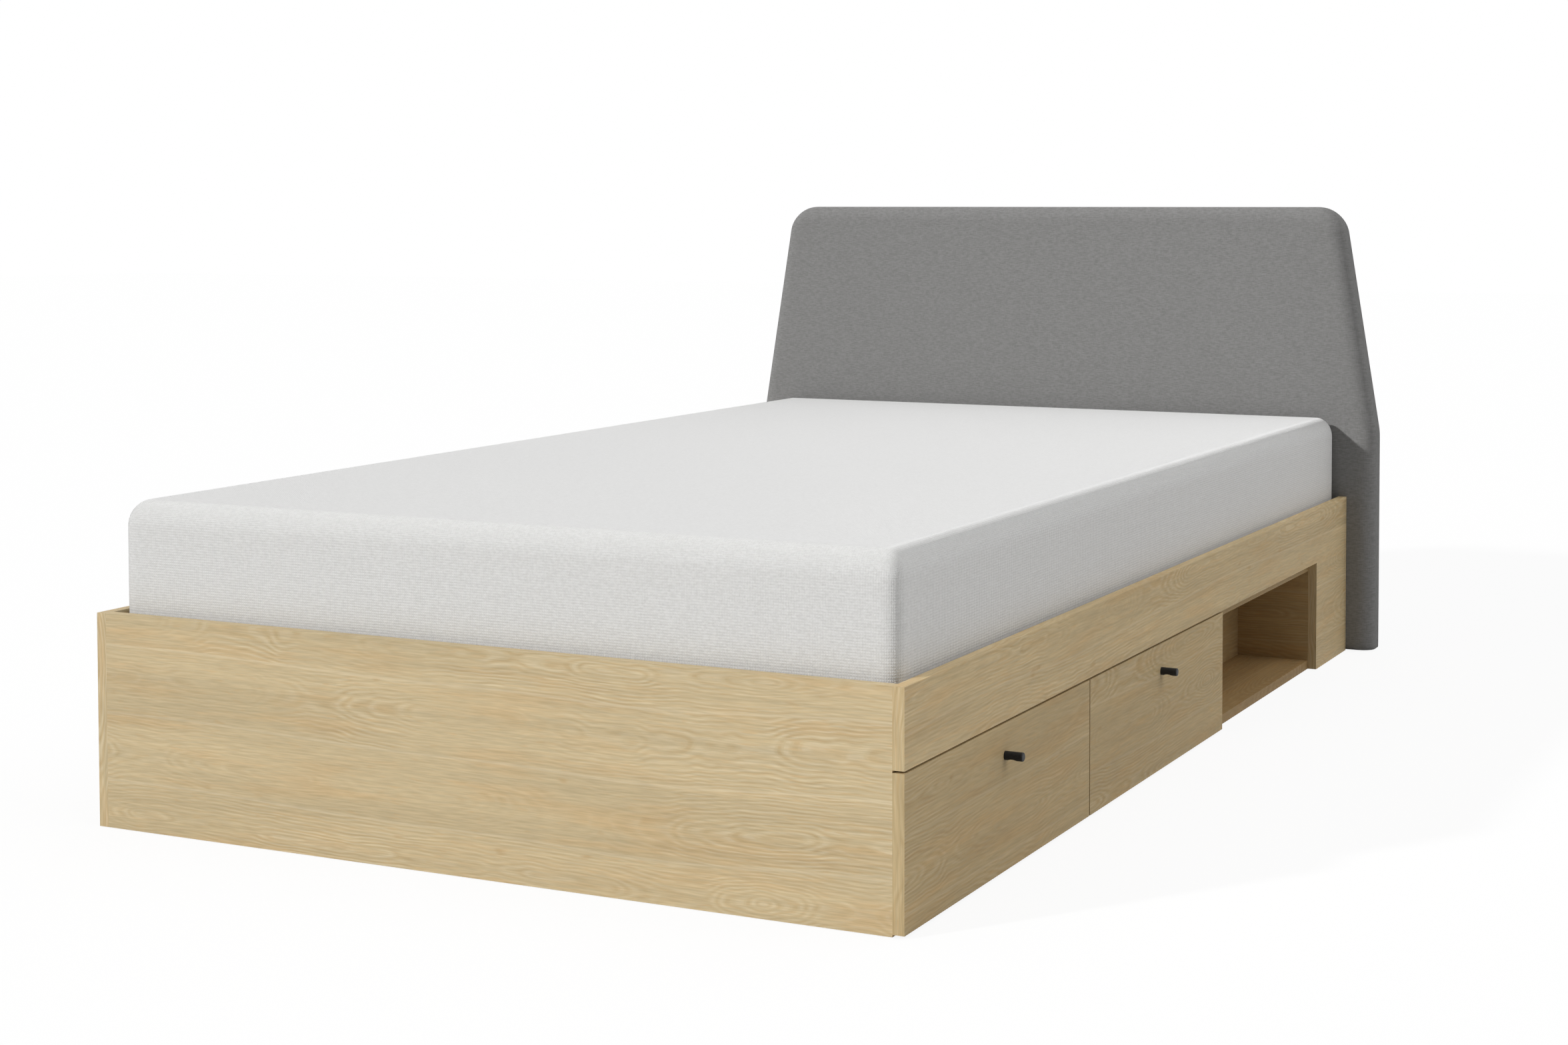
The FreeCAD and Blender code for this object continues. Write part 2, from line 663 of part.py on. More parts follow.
def rounded_block(name, inset):
    """The mattress's rounded form, drawn in on all sides by an inset."""
    body = new_body(name)
    half = f"mattress_side - {inset}"
    sketch = outline(body, "XY_Plane", rectangle(
        (f"-({half})", half), (f"mattress_start + {inset}", f"mattress_end - {inset}")))
    solid = pad(body, sketch, f"mattress_thickness - 2 * ({inset})")
    rounded(body, solid, lambda edge: True, f"mattress_edge_radius - {inset}")
    return place(body, "0", "0", f"slat_top + {inset}")


def make_mattress():
    """A foam core inside a woven cover."""
    outside = rounded_block("mattress_outside", "0")
    hollow = rounded_block("mattress_hollow", "cover_thickness")
    node("mattress_cover", cut("mattress_cover", outside, [hollow]))
    node("mattress_core", rounded_block("mattress_core", "(cover_thickness + soft_clearance)"))


def headboard_form(name, inset, start, depth):
    """The headboard's outline, drawn in by an inset: upright sides that lean in above the kink."""
    body = new_body(name)
    half = f"(headboard_width / 2 - {inset})"
    top_half = f"({half} - headboard_taper)"
    top = f"headboard_height - {inset}"
    sketch = outline(body, "XZ_Plane", [
        (f"-{half}", inset), (half, inset), (half, "headboard_kink_height"), (top_half, top),
        (f"-{top_half}", top), (f"-{half}", "headboard_kink_height")])
    solid = pad(body, sketch, depth, backwards=True)
    kink = value("headboard_kink_height")
    peak = value(top)

    def crosswise_at(height):
        def chosen(edge):
            heights = [vertex.Z for vertex in edge.Vertexes]
            lengthwise = abs(edge.Vertexes[0].X - edge.Vertexes[-1].X) < value("fit_clearance")
            return lengthwise and all(abs(z - height) < value("fit_clearance") for z in heights)
        return chosen

    bent = rounded(body, solid, crosswise_at(kink), f"headboard_kink_radius - {inset}")
    shaped = rounded(body, bent, crosswise_at(peak), f"headboard_corner_radius - {inset}")
    place(body, "0", start, "0")
    return body, shaped


def make_headboard():
    """A padded front wrapped round a board, closed at the back by a lining."""
    outside, shaped = headboard_form("headboard_outside", "0", "rail_end", "headboard_thickness")
    near = value("fit_clearance")

    def front_edge(edge):
        flat = all(abs(vertex.Y) < near for vertex in edge.Vertexes)
        return flat and max(vertex.Z for vertex in edge.Vertexes) > near

    rounded(outside, shaped, front_edge, "headboard_front_radius")
    pocket, _ = headboard_form("headboard_pocket", "headboard_wrap", "rail_end + pad_front",
                               "pocket_depth + cut_overrun")
    hollowed = cut("headboard_hollowed", outside, [pocket])
    node("headboard_pad", cut("headboard_pad", hollowed, [bolt_holes]))
    board_inset = "(headboard_wrap + soft_clearance)"
    board_blank, _ = headboard_form("headboard_board_blank", board_inset, "rail_end + pad_front",
                                    "headboard_board_thickness")
    node("headboard_board", cut("headboard_board", board_blank, [nut_holes]))
    lining, _ = headboard_form("headboard_lining", board_inset, "board_rear", "lining_thickness")
    node("headboard_lining", lining)


def runner_section(body, bay, side, points):
    """A runner's section from (distance from the bay's wall, height) points."""
    return outline(body, "YZ_Plane", [(across(bay, side, y), z) for y, z in points])


def make_cabinet_runner(number, side):
    """A channel of bent sheet on a bay's wall: the drawer's rear roller runs between its flanges."""
    bay = BAYS[number][0]
    name = f"drawer_{number}_{side}_channel"
    body = new_body(name + "_blank")
    web_and_roof = runner_section(body, bay, side, [
        ("0", "runner_lift"), ("runner_sheet", "runner_lift"),
        ("runner_sheet", "channel_top - runner_sheet"),
        ("runner_flange_depth", "channel_top - runner_sheet"),
        ("runner_flange_depth", "channel_top"), ("0", "channel_top")])
    pad(body, web_and_roof, "runner_front - drawer_rear")
    track = runner_section(body, bay, side, rectangle(
        ("runner_sheet", "runner_flange_depth"), ("runner_lift", "track_top")))
    pad(body, track, "front_roller_place - roller_notch - drawer_rear")
    place(body, "drawer_rear", "0", "0")
    node(name, cut(name, body, [cabinet_screw_holes, cabinet_axle_holes]))


def make_drawer_runners(number, screw_holes, axle_holes):
    """Profiles under the drawer's sides, each with an outward flange that rides on a front roller."""
    bay = BAYS[number][0]
    profiles = []
    for side in SIDES:
        body = new_body(f"drawer_{number}_{side}_profile")
        leg = "drawer_gap - runner_sheet"
        lip = "drawer_gap + drawer_side_thickness"
        leg_and_lip = runner_section(body, bay, side, [
            (leg, "drawer_lift"), (lip, "drawer_lift"), (lip, "drawer_side_bottom"),
            ("drawer_gap", "drawer_side_bottom"), ("drawer_gap", "flange_top"), (leg, "flange_top")])
        pad(body, leg_and_lip, "runner_front - drawer_rear")
        place(body, "drawer_rear", "0", "0")
        flange_body = new_body(f"drawer_{number}_{side}_flange")
        flange = runner_section(flange_body, bay, side, rectangle(
            ("runner_sheet + track_edge_gap", leg), ("flange_bottom", "flange_top")))
        pad(flange_body, flange, "runner_front - rear_roller_place - roller_notch")
        place(flange_body, "rear_roller_place + roller_notch", "0", "0")
        joined = doc.addObject("Part::Fuse", f"drawer_{number}_{side}_joined")
        joined.Base = body
        joined.Tool = flange_body
        joined.Refine = True
        profiles.append(cut(f"drawer_{number}_{side}_runner", joined, [screw_holes, axle_holes]))
    name = f"drawer_{number}_runners"
    node(name, group(name, profiles))


def make_knob(number, front_middle, screw_bore):
    """A round bar on the drawer front with a finger scoop in its underside."""
    body = new_body(f"knob_{number}_bar")
    sketch = new_sketch(body, "YZ_Plane")
    middle = Vector(0, 0, 0)
    circle = Part.Circle(middle, Vector(0, 0, 1), value("knob_diameter / 2"))
    sketch.addGeometry(circle, False)
    sketch.addConstraint(Sketcher.Constraint("Coincident", 0, 3, -1, 1))
    index = sketch.addConstraint(Sketcher.Constraint("Diameter", 0, value("knob_diameter")))
    sketch.setExpression(f"Constraints[{index}]", formula("knob_diameter"))
    bar = pad(body, sketch, "knob_length")
    end = value("knob_length")
    near = value("fit_clearance")
    rounded(body, bar, lambda edge: all(abs(vertex.X - end) < near for vertex in edge.Vertexes),
            "knob_edge_radius")
    place(body, "box_width / 2", front_middle, "knob_height")
    scoop = doc.addObject("Part::Cylinder", f"knob_{number}_scoop")
    scoop.setExpression("Radius", formula("scoop_radius"))
    scoop.setExpression("Height", formula("knob_diameter + 2 * cut_overrun"))
    place(scoop, "box_width / 2 + scoop_place",
          f"{front_middle} + knob_diameter / 2 + cut_overrun",
          "knob_height - knob_diameter / 2 + scoop_depth - scoop_radius",
          Rotation(Vector(1, 0, 0), 90))
    name = f"drawer_{number}_knob"
    node(name, cut(name, body, [scoop, screw_bore]))


DRAWER_DOWEL = [("drawer_dowel_diameter", "-drawer_dowel_depth",
                 "drawer_dowel_length - drawer_dowel_depth")]
DRAWER_DOWEL_BORE = [("drawer_dowel_diameter", "-drawer_dowel_depth - fit_clearance",
                      "drawer_dowel_length - drawer_dowel_depth + fit_clearance")]
drawer_dowel = stepped("drawer_dowel", DRAWER_DOWEL)
drawer_dowel_bore = stepped("drawer_dowel_bore", DRAWER_DOWEL_BORE, "fit_clearance")
KNOB_SCREW_END = "board + knob_screw_grip"
knob_screw = stepped("knob_screw", [
    ("knob_screw_head_diameter", "-knob_screw_head_height", "0"),
    ("knob_screw_diameter", "0", KNOB_SCREW_END),
])
knob_screw_bore = stepped("knob_screw_bore", [
    ("knob_screw_diameter", "-cut_overrun", f"{KNOB_SCREW_END} + fit_clearance"),
], "fit_clearance")


def make_drawer(number):
    """A drawer box with a grooved-in bottom behind a front that covers the bay's edges."""
    bay, front_start = BAYS[number]
    name = f"drawer_{number}"
    starts = {"foot": f"{bay} + drawer_gap",
              "head": f"{bay} + drawer_gap + drawer_width - drawer_side_thickness"}
    inner = (f"{bay} + drawer_gap + drawer_side_thickness",
             f"{bay} + drawer_gap + drawer_width - drawer_side_thickness")
    heights = ("drawer_side_bottom + drawer_dowel_low_height", "drawer_dowel_high_height")

    dowel_spots = []
    for side, start in starts.items():
        seam = inner[0] if side == "foot" else inner[1]
        for height in heights:
            dowel_spots.append(("side_inner", f"{start} + drawer_side_thickness / 2", height,
                                TURNS["-X"]))
            dowel_spots.append(("drawer_rear + drawer_side_thickness / 2", seam, height,
                                way_inwards(side)))
    node(f"{name}_dowels", copies(f"{name}_dowels", drawer_dowel, dowel_spots))
    dowel_holes = copies(f"{name}_dowel_holes", drawer_dowel_bore, dowel_spots)

    screw_spots = [(x, across(bay, side, "drawer_gap - runner_sheet"),
                    "drawer_side_bottom + drawer_screw_height", way_inwards(side))
                   for side in SIDES
                   for x in runner_screw_places(side)]
    node(f"{name}_runner_screws", copies(f"{name}_runner_screws", runner_screw, screw_spots))
    screw_holes = copies(f"{name}_screw_holes", runner_screw_bore, screw_spots)

    axle_spots = [("rear_roller_place", across(bay, side, "drawer_gap"), "rear_roller_height",
                   way_outwards(side)) for side in SIDES]
    node(f"{name}_roller_axles", copies(f"{name}_roller_axles", axle, axle_spots))
    axle_holes = copies(f"{name}_axle_holes", axle_bore, axle_spots)
    make_drawer_runners(number, screw_holes, axle_holes)

    front_middle = f"{front_start} + front_width / 2"
    knob_spot = [("side_inner", front_middle, "knob_height", TURNS["+X"])]
    node(f"{name}_knob_screw", copies(f"{name}_knob_screw", knob_screw, knob_spot))
    knob_hole = copies(f"{name}_knob_hole", knob_screw_bore, knob_spot)
    make_knob(number, front_middle, knob_hole)

    tongue = (f"{inner[0]} - groove_depth", f"{inner[1]} + groove_depth")
    groove = block(f"{name}_groove", ("drawer_rear - cut_overrun", "side_inner + groove_depth"),
                   tongue, ("groove_bottom", "groove_top"))
    board(f"{name}_front", ("side_inner", "box_width / 2"),
          (front_start, f"{front_start} + front_width"), ("floor_gap", "front_top"),
          [dowel_holes, knob_hole, groove])
    for side, start in starts.items():
        board(f"{name}_{side}_side", ("drawer_rear", "side_inner"),
              (start, f"{start} + drawer_side_thickness"),
              ("drawer_side_bottom", "drawer_side_top"), [dowel_holes, screw_holes, groove])
    board(f"{name}_back", ("drawer_rear", "drawer_rear + drawer_side_thickness"), inner,
          ("groove_bottom + drawer_bottom_thickness", "drawer_side_top"), [dowel_holes])
    board(f"{name}_bottom", ("drawer_rear", "side_inner + groove_depth - groove_clearance"),
          (f"{tongue[0]} + groove_clearance", f"{tongue[1]} - groove_clearance"),
          ("groove_bottom", "groove_bottom + drawer_bottom_thickness"))


def make_rollers(number):
    """Front rollers on the box and rear rollers on the drawer, a pair on each axis line."""
    bay = BAYS[number][0]
    stand_off = "runner_sheet + roller_stand_off"
    front_spots = [("front_roller_place", across(bay, side, stand_off), "front_roller_height",
                    way_inwards(side)) for side in SIDES]
    rear_spots = [("rear_roller_place", across(bay, side, f"drawer_gap - ({stand_off})"),
                   "rear_roller_height", way_outwards(side)) for side in SIDES]
    for end, spots in (("front", front_spots), ("rear", rear_spots)):
        name = f"drawer_{number}_{end}_rollers"
        node(name, copies(name, roller, spots))


make_box()
make_right_side_panel()
make_slatted_base()
make_mattress()
make_headboard()
for bay_number in BAYS:
    for bay_side in SIDES:
        make_cabinet_runner(bay_number, bay_side)
    make_drawer(bay_number)
    make_rollers(bay_number)
doc.recompute()

for thing in doc.Objects:
    if {"Invalid", "Error"} & set(thing.State):
        raise RuntimeError(f"{thing.Name} failed: {thing.State}")
for name, thing in nodes.items():
    if thing.Shape.isNull() or not thing.Shape.isValid() or not thing.Shape.Solids:
        raise RuntimeError(f"{name} has no valid shape")

os.makedirs("parts", exist_ok=True)
for name, thing in nodes.items():
    thing.Shape.exportStep(f"parts/{name}.step")
print(f"{len(nodes)} pieces, {sum(len(thing.Shape.Solids) for thing in nodes.values())} solids")
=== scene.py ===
# %% [markdown]
# # A youth bed, dressed around its construction
# The construction of the bed (boards, drawers, runners, slats, bolts) arrives as a fixed frame of solid
# pieces. This lesson gives those pieces their finishes and adds what a solid cannot show: the swell
# of the mattress, the soft edge of the headboard, its stapled lining and the tapes of the slats.
# Lengths are in metres: X runs across the bed, Y from the foot to the head, Z up.

import math

import bpy
import numpy as np
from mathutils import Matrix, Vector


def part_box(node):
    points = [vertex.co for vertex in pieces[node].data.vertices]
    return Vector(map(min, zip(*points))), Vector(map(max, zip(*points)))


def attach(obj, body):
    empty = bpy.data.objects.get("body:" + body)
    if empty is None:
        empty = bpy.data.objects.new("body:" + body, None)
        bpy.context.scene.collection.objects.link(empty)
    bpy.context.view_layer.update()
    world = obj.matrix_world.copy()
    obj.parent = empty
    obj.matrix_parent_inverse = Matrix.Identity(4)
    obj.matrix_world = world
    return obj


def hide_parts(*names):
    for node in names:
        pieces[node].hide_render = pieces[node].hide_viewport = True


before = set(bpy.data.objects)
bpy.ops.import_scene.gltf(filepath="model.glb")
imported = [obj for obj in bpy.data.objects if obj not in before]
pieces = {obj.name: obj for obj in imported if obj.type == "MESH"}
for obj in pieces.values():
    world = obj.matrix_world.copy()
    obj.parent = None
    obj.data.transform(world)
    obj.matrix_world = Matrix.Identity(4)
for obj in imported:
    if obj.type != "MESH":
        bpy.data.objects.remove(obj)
scene = bpy.context.scene
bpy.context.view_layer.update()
X, Y, Z = 0, 1, 2
print("pieces of the construction:", len(pieces))

# %% [markdown]
# ## The camera
# The photograph looks at the foot end and the drawer side from about the height of the headboard's top.
# Its upright edges run almost parallel, and its horizon lies above the middle of the picture.
# That is a camera that looks nearly level with its lens shifted downwards,
# so most of the downward look is given to the shift and only a little to a tilt.

# %% Camera
CAMERA_AT = (1.8234, -3.6024, 0.8750)
DEGREES_DOWN = 2.376
DEGREES_LEFT = 24.606
SENSOR_MM = 36
LENS_MM = 55.086
SHIFT = (-0.0908, -0.14)

camera_data = bpy.data.cameras.new("camera")
camera = bpy.data.objects.new("camera", camera_data)
scene.collection.objects.link(camera)
scene.camera = camera
camera.location = CAMERA_AT
camera.rotation_euler = (math.radians(90 - DEGREES_DOWN), 0, math.radians(DEGREES_LEFT))
camera_data.sensor_width = SENSOR_MM
camera_data.lens = LENS_MM
camera_data.shift_x, camera_data.shift_y = SHIFT
print("lens", LENS_MM, "mm, shift", SHIFT)

# %% [markdown]
# ## Small tools for shader nodes
# A background, a floor or a finish is a chain of shader nodes. They can be set up one by one, but then the
# idea is lost among sockets. These helpers make one node each and hand back its output, so that a
# finish reads like a calculation.

# %% Tools for shader nodes


def feed(tree, socket, value):
    """Links an output to an input, or sets the input to a number or a colour."""
    if isinstance(value, bpy.types.NodeSocket):
        tree.links.new(value, socket)
    else:
        socket.default_value = value


def calc(tree, operation, first, second=0.0):
    """One step of arithmetic between outputs or numbers."""
    step = tree.nodes.new("ShaderNodeMath")
    step.operation = operation
    feed(tree, step.inputs[0], first)
    feed(tree, step.inputs[1], second)
    return step.outputs[0]


def add(tree, first, second):
    """The sum of two outputs or numbers."""
    return calc(tree, "ADD", first, second)


def minus(tree, first, second):
    """The first output or number less the second."""
    return calc(tree, "SUBTRACT", first, second)


def times(tree, first, second):
    """The product of two outputs or numbers."""
    return calc(tree, "MULTIPLY", first, second)


def ramp(tree, value, low, high, start=0.0, end=1.0):
    """Carries the range low to high smoothly over to start and end."""
    step = tree.nodes.new("ShaderNodeMapRange")
    step.interpolation_type = "SMOOTHSTEP"
    feed(tree, step.inputs["Value"], value)
    for name, number in (("From Min", low), ("From Max", high), ("To Min", start), ("To Max", end)):
        step.inputs[name].default_value = number
    return step.outputs["Result"]


def colour(red, green, blue):
    """A colour with full cover."""
    return (red, green, blue, 1.0)


print("tools for shader nodes are ready")

# %% [markdown]
# ## The white background
# The photograph's background is pure white. A bright world would give that, but it would also flood the niche
# and the shadow beside the mattress. So the world shows white to the camera and in reflections,
# and sends only a little light to the bed.

# %% White background
AMBIENT = 0.05
WHITE = colour(1.0, 1.0, 1.0)


def seen_directly(tree):
    """Output that is 1 for rays from the camera, in reflections and through glass, and 0 for the rest."""
    path = tree.nodes.new("ShaderNodeLightPath").outputs
    seen = calc(tree, "MAXIMUM", path["Is Camera Ray"], path["Is Glossy Ray"])
    return calc(tree, "MAXIMUM", seen, path["Is Transmission Ray"])


scene.view_settings.view_transform = "Standard"
world = bpy.data.worlds.new("white")
scene.world = world
world.use_nodes = True
sky = world.node_tree
background = sky.nodes["Background"]
background.inputs["Color"].default_value = WHITE
sky.links.new(ramp(sky, seen_directly(sky), 0.0, 1.0, AMBIENT, 1.0), background.inputs["Strength"])
print("white to the camera, and to the bed", AMBIENT)

# %% [markdown]
# ## The lamps
# In the photograph a key light stands at the front left, low enough for the mattress to throw a slanting
# shadow on the headboard. A large soft light hangs above, a little to the right and behind, and a weak one
# fills the drawer side from the right. Area lamps would fade from one end of the bed to
# the other, so each lamp is a sun, and its spread makes the edge of its shadow sharp or soft.

# %% Lamps
# Each lamp: where its light travels, what a facing surface gets, and its spread in degrees.
LAMPS = (
    ("key", (0.54, 0.72, -0.43), 0.75, 3),
    ("overhead", (-0.22, -0.30, -0.93), 0.51, 100),
    ("rim", (-0.67, 0.0, -0.74), 0.15, 50),
)


def sun(name, travels, strength, spread):
    """A sun turned by acos(-z) about X and by atan2(-x, y) about Z: its light travels along (x, y, z)."""
    data = bpy.data.lights.new(name, "SUN")
    data.energy = strength * math.pi
    data.angle = math.radians(spread)
    lamp = bpy.data.objects.new(name, data)
    scene.collection.objects.link(lamp)
    heading = np.array(travels) / np.linalg.norm(travels)
    lamp.rotation_euler = (math.acos(-heading[Z]), 0, math.atan2(-heading[X], heading[Y]))


for lamp in LAMPS:
    sun(*lamp)
print("lamps:", [lamp.name for lamp in bpy.data.lights])

# %% [markdown]
# ## The floor
# The floor is as white as the background, yet a faint shadow of the bed shows on it. To the camera and
# in reflections the floor therefore glows white, with a small share of ordinary matt white that takes the
# shadow. To all other light it is grey, which sends less light back and keeps the niche dark.

# %% Floor
FLOOR_GREY = colour(0.62, 0.62, 0.62)
SHADOW_SHARE = 0.10
FLOOR_REACH = 20.0
FLOOR_DROP = 0.001


def matt(tree, painted_shade):
    """A matt surface of one colour."""
    shader = tree.nodes.new("ShaderNodeBsdfDiffuse")
    shader.inputs["Color"].default_value = painted_shade
    return shader.outputs["BSDF"]


def either(tree, share, first, second):
    """The first surface where the share is 0, the second where it is 1."""
    mix = tree.nodes.new("ShaderNodeMixShader")
    feed(tree, mix.inputs["Fac"], share)
    tree.links.new(first, mix.inputs[1])
    tree.links.new(second, mix.inputs[2])
    return mix.outputs["Shader"]


corners = [(x * FLOOR_REACH, y * FLOOR_REACH, -FLOOR_DROP) for x, y in ((-1, -1), (1, -1), (1, 1), (-1, 1))]
floor_mesh = bpy.data.meshes.new("floor")
floor_mesh.from_pydata(corners, [], [(0, 1, 2, 3)])
floor = bpy.data.objects.new("floor", floor_mesh)
scene.collection.objects.link(floor)
floor_material = bpy.data.materials.new("white_floor")
floor_material.use_nodes = True
ground = floor_material.node_tree
ground.nodes.remove(ground.nodes["Principled BSDF"])
glow = ground.nodes.new("ShaderNodeEmission")
glow.inputs["Strength"].default_value = 1.0
shown = either(ground, SHADOW_SHARE, glow.outputs["Emission"], matt(ground, WHITE))
surface = either(ground, seen_directly(ground), matt(ground, FLOOR_GREY), shown)
ground.links.new(surface, ground.nodes["Material Output"].inputs["Surface"])
floor_mesh.materials.append(floor_material)
print("floor:", 2 * FLOOR_REACH, "m wide, share that takes the shadow", SHADOW_SHARE)

# %% [markdown]
# ## Small tools for finishes
# Every finish here grows out of noise on the piece's own coordinates: clouds that are stretched, cut off at a
# level or turned into a relief. A picture of the material would be quicker, but it
# repeats and has seams. Places are in metres on the piece, so a pattern stays on it when it moves.

# %% Tools for finishes
# Places of the colour sockets on a Mix node, which also has sockets for numbers and vectors.
COLOUR_A, COLOUR_B, COLOUR_OUT = 6, 7, 2


def new_paint(name):
    """A material with its node tree and its main shader."""
    material = bpy.data.materials.new(name)
    material.use_nodes = True
    return material, material.node_tree, material.node_tree.nodes["Principled BSDF"]


def coordinates(tree, kind):
    """Three outputs of a piece's own: its place (Object), its facing (Normal) or its cloth (UV)."""
    where = tree.nodes.new("ShaderNodeTexCoord")
    parts = tree.nodes.new("ShaderNodeSeparateXYZ")
    tree.links.new(where.outputs[kind], parts.inputs[0])
    return parts.outputs


def cloud(tree, u, v, w, scales, detail=2.0, roughness=0.5):
    """Noise between 0 and 1 over three coordinates, each with its own number of patches per metre."""
    place = tree.nodes.new("ShaderNodeCombineXYZ")
    for socket, value, scale in zip(place.inputs, (u, v, w), scales):
        feed(tree, socket, times(tree, value, scale))
    noise = tree.nodes.new("ShaderNodeTexNoise")
    noise.inputs["Scale"].default_value = 1.0
    noise.inputs["Detail"].default_value = detail
    noise.inputs["Roughness"].default_value = roughness
    tree.links.new(place.outputs[0], noise.inputs["Vector"])
    return noise.outputs["Fac"]


def mixed(tree, share, first, second, way="MIX"):
    """Mixes two colours by a share."""
    step = tree.nodes.new("ShaderNodeMix")
    step.data_type = "RGBA"
    step.blend_type = way
    feed(tree, step.inputs["Factor"], share)
    feed(tree, step.inputs[COLOUR_A], first)
    feed(tree, step.inputs[COLOUR_B], second)
    return step.outputs[COLOUR_OUT]


def relief(tree, shader, height, depth):
    """Lets a height between 0 and 1 raise the surface by a depth."""
    bump = tree.nodes.new("ShaderNodeBump")
    bump.inputs["Strength"].default_value = 1.0
    bump.inputs["Distance"].default_value = depth
    tree.links.new(height, bump.inputs["Height"])
    tree.links.new(bump.outputs["Normal"], shader.inputs["Normal"])


def paint(material, *names):
    """Gives a material to pieces of the construction."""
    for name in names:
        pieces[name].data.materials.clear()
        pieces[name].data.materials.append(material)


print("tools for finishes are ready")

# %% [markdown]
# ## Oak laminate
# The boards are chipboard under a printed oak paper. Each board's print runs along the board, and its edges
# carry a narrow band whose print follows the edge. The print shows strips of timber side by side.
# Plain stretched noise would give straight streaks only. Here a strip is cut beside the heart of its tree, so
# a growth ring's number at a point is that point's distance from the heart line: straight lines at the
# strip's sides, arches and little eyes where the heart line comes near. Fine fibres, warm flecks
# and the light joints between strips go on top.

# %% Oak colours and layers
BASE_OAK = colour(0.606, 0.488, 0.296)
PALE_OAK = colour(0.690, 0.580, 0.388)
WARM_OAK = colour(0.615, 0.455, 0.252)
LINE_OAK = colour(0.540, 0.394, 0.212)
KNOT_OAK = colour(0.520, 0.350, 0.176)
# Each layer of noise: patches per metre along the grain, patches per metre across it or per strip,
# detail, and a slice of the noise that no other layer uses.
LAYERS = {
    "drift": (1.4, 1.0, 1.0, 0.7),
    "aside": (1.0, 1.0, 1.0, 1.9),
    "waver": (9.0, 30.0, 1.0, 0.0),
    "depth": (2.1, 1.0, 1.0, 2.3),
    "ripple": (15.0, 1.0, 1.0, 8.1),
    "jitter": (17.0, 70.0, 1.0, 3.3),
    "figure": (2.2, 1.0, 2.0, 5.1),
    "breaks": (20.0, 260.0, 2.0, 2.2),
    "bands": (0.9, 24.0, 2.0, 6.4),
    "streaks": (3.5, 140.0, 2.0, 13.4),
    "fibres": (28.0, 480.0, 3.0, 7.7),
    "patches": (5.5, 44.0, 3.0, 9.2),
    "flecks": (30.0, 190.0, 2.0, 4.6),
    "knots": (18.0, 60.0, 1.0, 11.9),
}


def layer(tree, name, u, v, seed=0.0):
    """Noise between 0 and 1 of one layer of the print."""
    along, across, detail, own_slice = LAYERS[name]
    return cloud(tree, u, v, seed + own_slice, (along, across, 1.0), detail)


def swing(tree, name, size, u, v, seed=0.0):
    """A layer that swings about zero: size * (noise - 0.5)."""
    return times(tree, minus(tree, layer(tree, name, u, v, seed), 0.5), size)


print("layers of the oak print:", len(LAYERS))

# %% Oak strips and rings
STRIP = 0.095
STRIP_DRIFT = 0.055
TREE_STEP = 7.31
ASIDE_ROW = 3.7
HEART_ASIDE = 0.10
HEART_WAVER = 0.012
HEART_DEPTH = 0.23
HEART_RIPPLE = 0.016
RING = 0.0046
RING_JITTER = 0.8


def print_lines(tree, grain, across, thick):
    """Places along and across the print: along the grain on the faces, along the edge on a board's ends."""
    place = coordinates(tree, "Object")
    facing = coordinates(tree, "Normal")
    end = calc(tree, "GREATER_THAN", calc(tree, "ABSOLUTE", facing[grain]), 0.5)
    side = minus(tree, 1.0, end)
    along = add(tree, times(tree, side, place[grain]), times(tree, end, place[across]))
    over = add(tree, place[thick], times(tree, side, place[across]))
    return along, over


def strip_at(tree, along, over, seed):
    """The offset from a strip's middle, over - (number + 0.5) * STRIP, and a number that picks its tree."""
    drift = swing(tree, "drift", STRIP_DRIFT, along, seed)
    bent = add(tree, add(tree, over, seed * STRIP), drift)
    number = calc(tree, "FLOOR", calc(tree, "DIVIDE", bent, STRIP))
    offset = minus(tree, bent, times(tree, add(tree, number, 0.5), STRIP))
    return offset, add(tree, times(tree, number, TREE_STEP), seed)


def rings_at(tree, along, over, offset, pick, seed):
    """Rings about a heart line: reach = sqrt(heart^2 + depth^2), wave = sin(2 pi (reach / RING + jitter))."""
    heart = add(tree, offset, swing(tree, "aside", HEART_ASIDE, pick, ASIDE_ROW))
    heart = add(tree, heart, swing(tree, "waver", HEART_WAVER, along, over, seed))
    depth = add(tree, swing(tree, "depth", HEART_DEPTH, along, pick),
                swing(tree, "ripple", HEART_RIPPLE, along, pick))
    reach = calc(tree, "SQRT", add(tree, times(tree, heart, heart), times(tree, depth, depth)))
    jitter = swing(tree, "jitter", RING_JITTER, along, over, seed)
    ring = add(tree, calc(tree, "DIVIDE", reach, RING), jitter)
    return reach, calc(tree, "SINE", times(tree, ring, 2 * math.pi))


print("a strip is", STRIP, "m wide and a ring", RING, "m")

# %% Oak laminate
# Levels of a value from and to, and the strength of what they bring there.
FIGURE = (0.36, 0.64, 0.16, 0.70)
BREAKS = (0.36, 0.62, 0.2, 1.0)
DARK_WAVE = (-0.2, -1.0, 0.0, 1.0)
PALE_WAVE = (0.0, 1.0, 0.0, 1.0)
CORE = (0.001, 0.009, 0.55, 0.0)
JOINT = (0.0004, 0.0030, 0.55, 0.0)
STAINS = {
    "patches": (0.46, 0.70, 0.0, 0.8),
    "flecks": (0.58, 0.74, 0.0, 0.7),
    "knots": (0.71, 0.82, 0.0, 0.6),
}
SHADES = {
    "bands": (0.32, 0.68, 0.95, 1.05),
    "streaks": (0.30, 0.70, 0.95, 1.04),
    "fibres": (0.25, 0.75, 0.91, 1.09),
}
OAK_ROUGHNESS = (0.2, 0.8, 0.50, 0.62)
OAK_GLOSS = 0.10
OAK_RELIEF = 0.00006


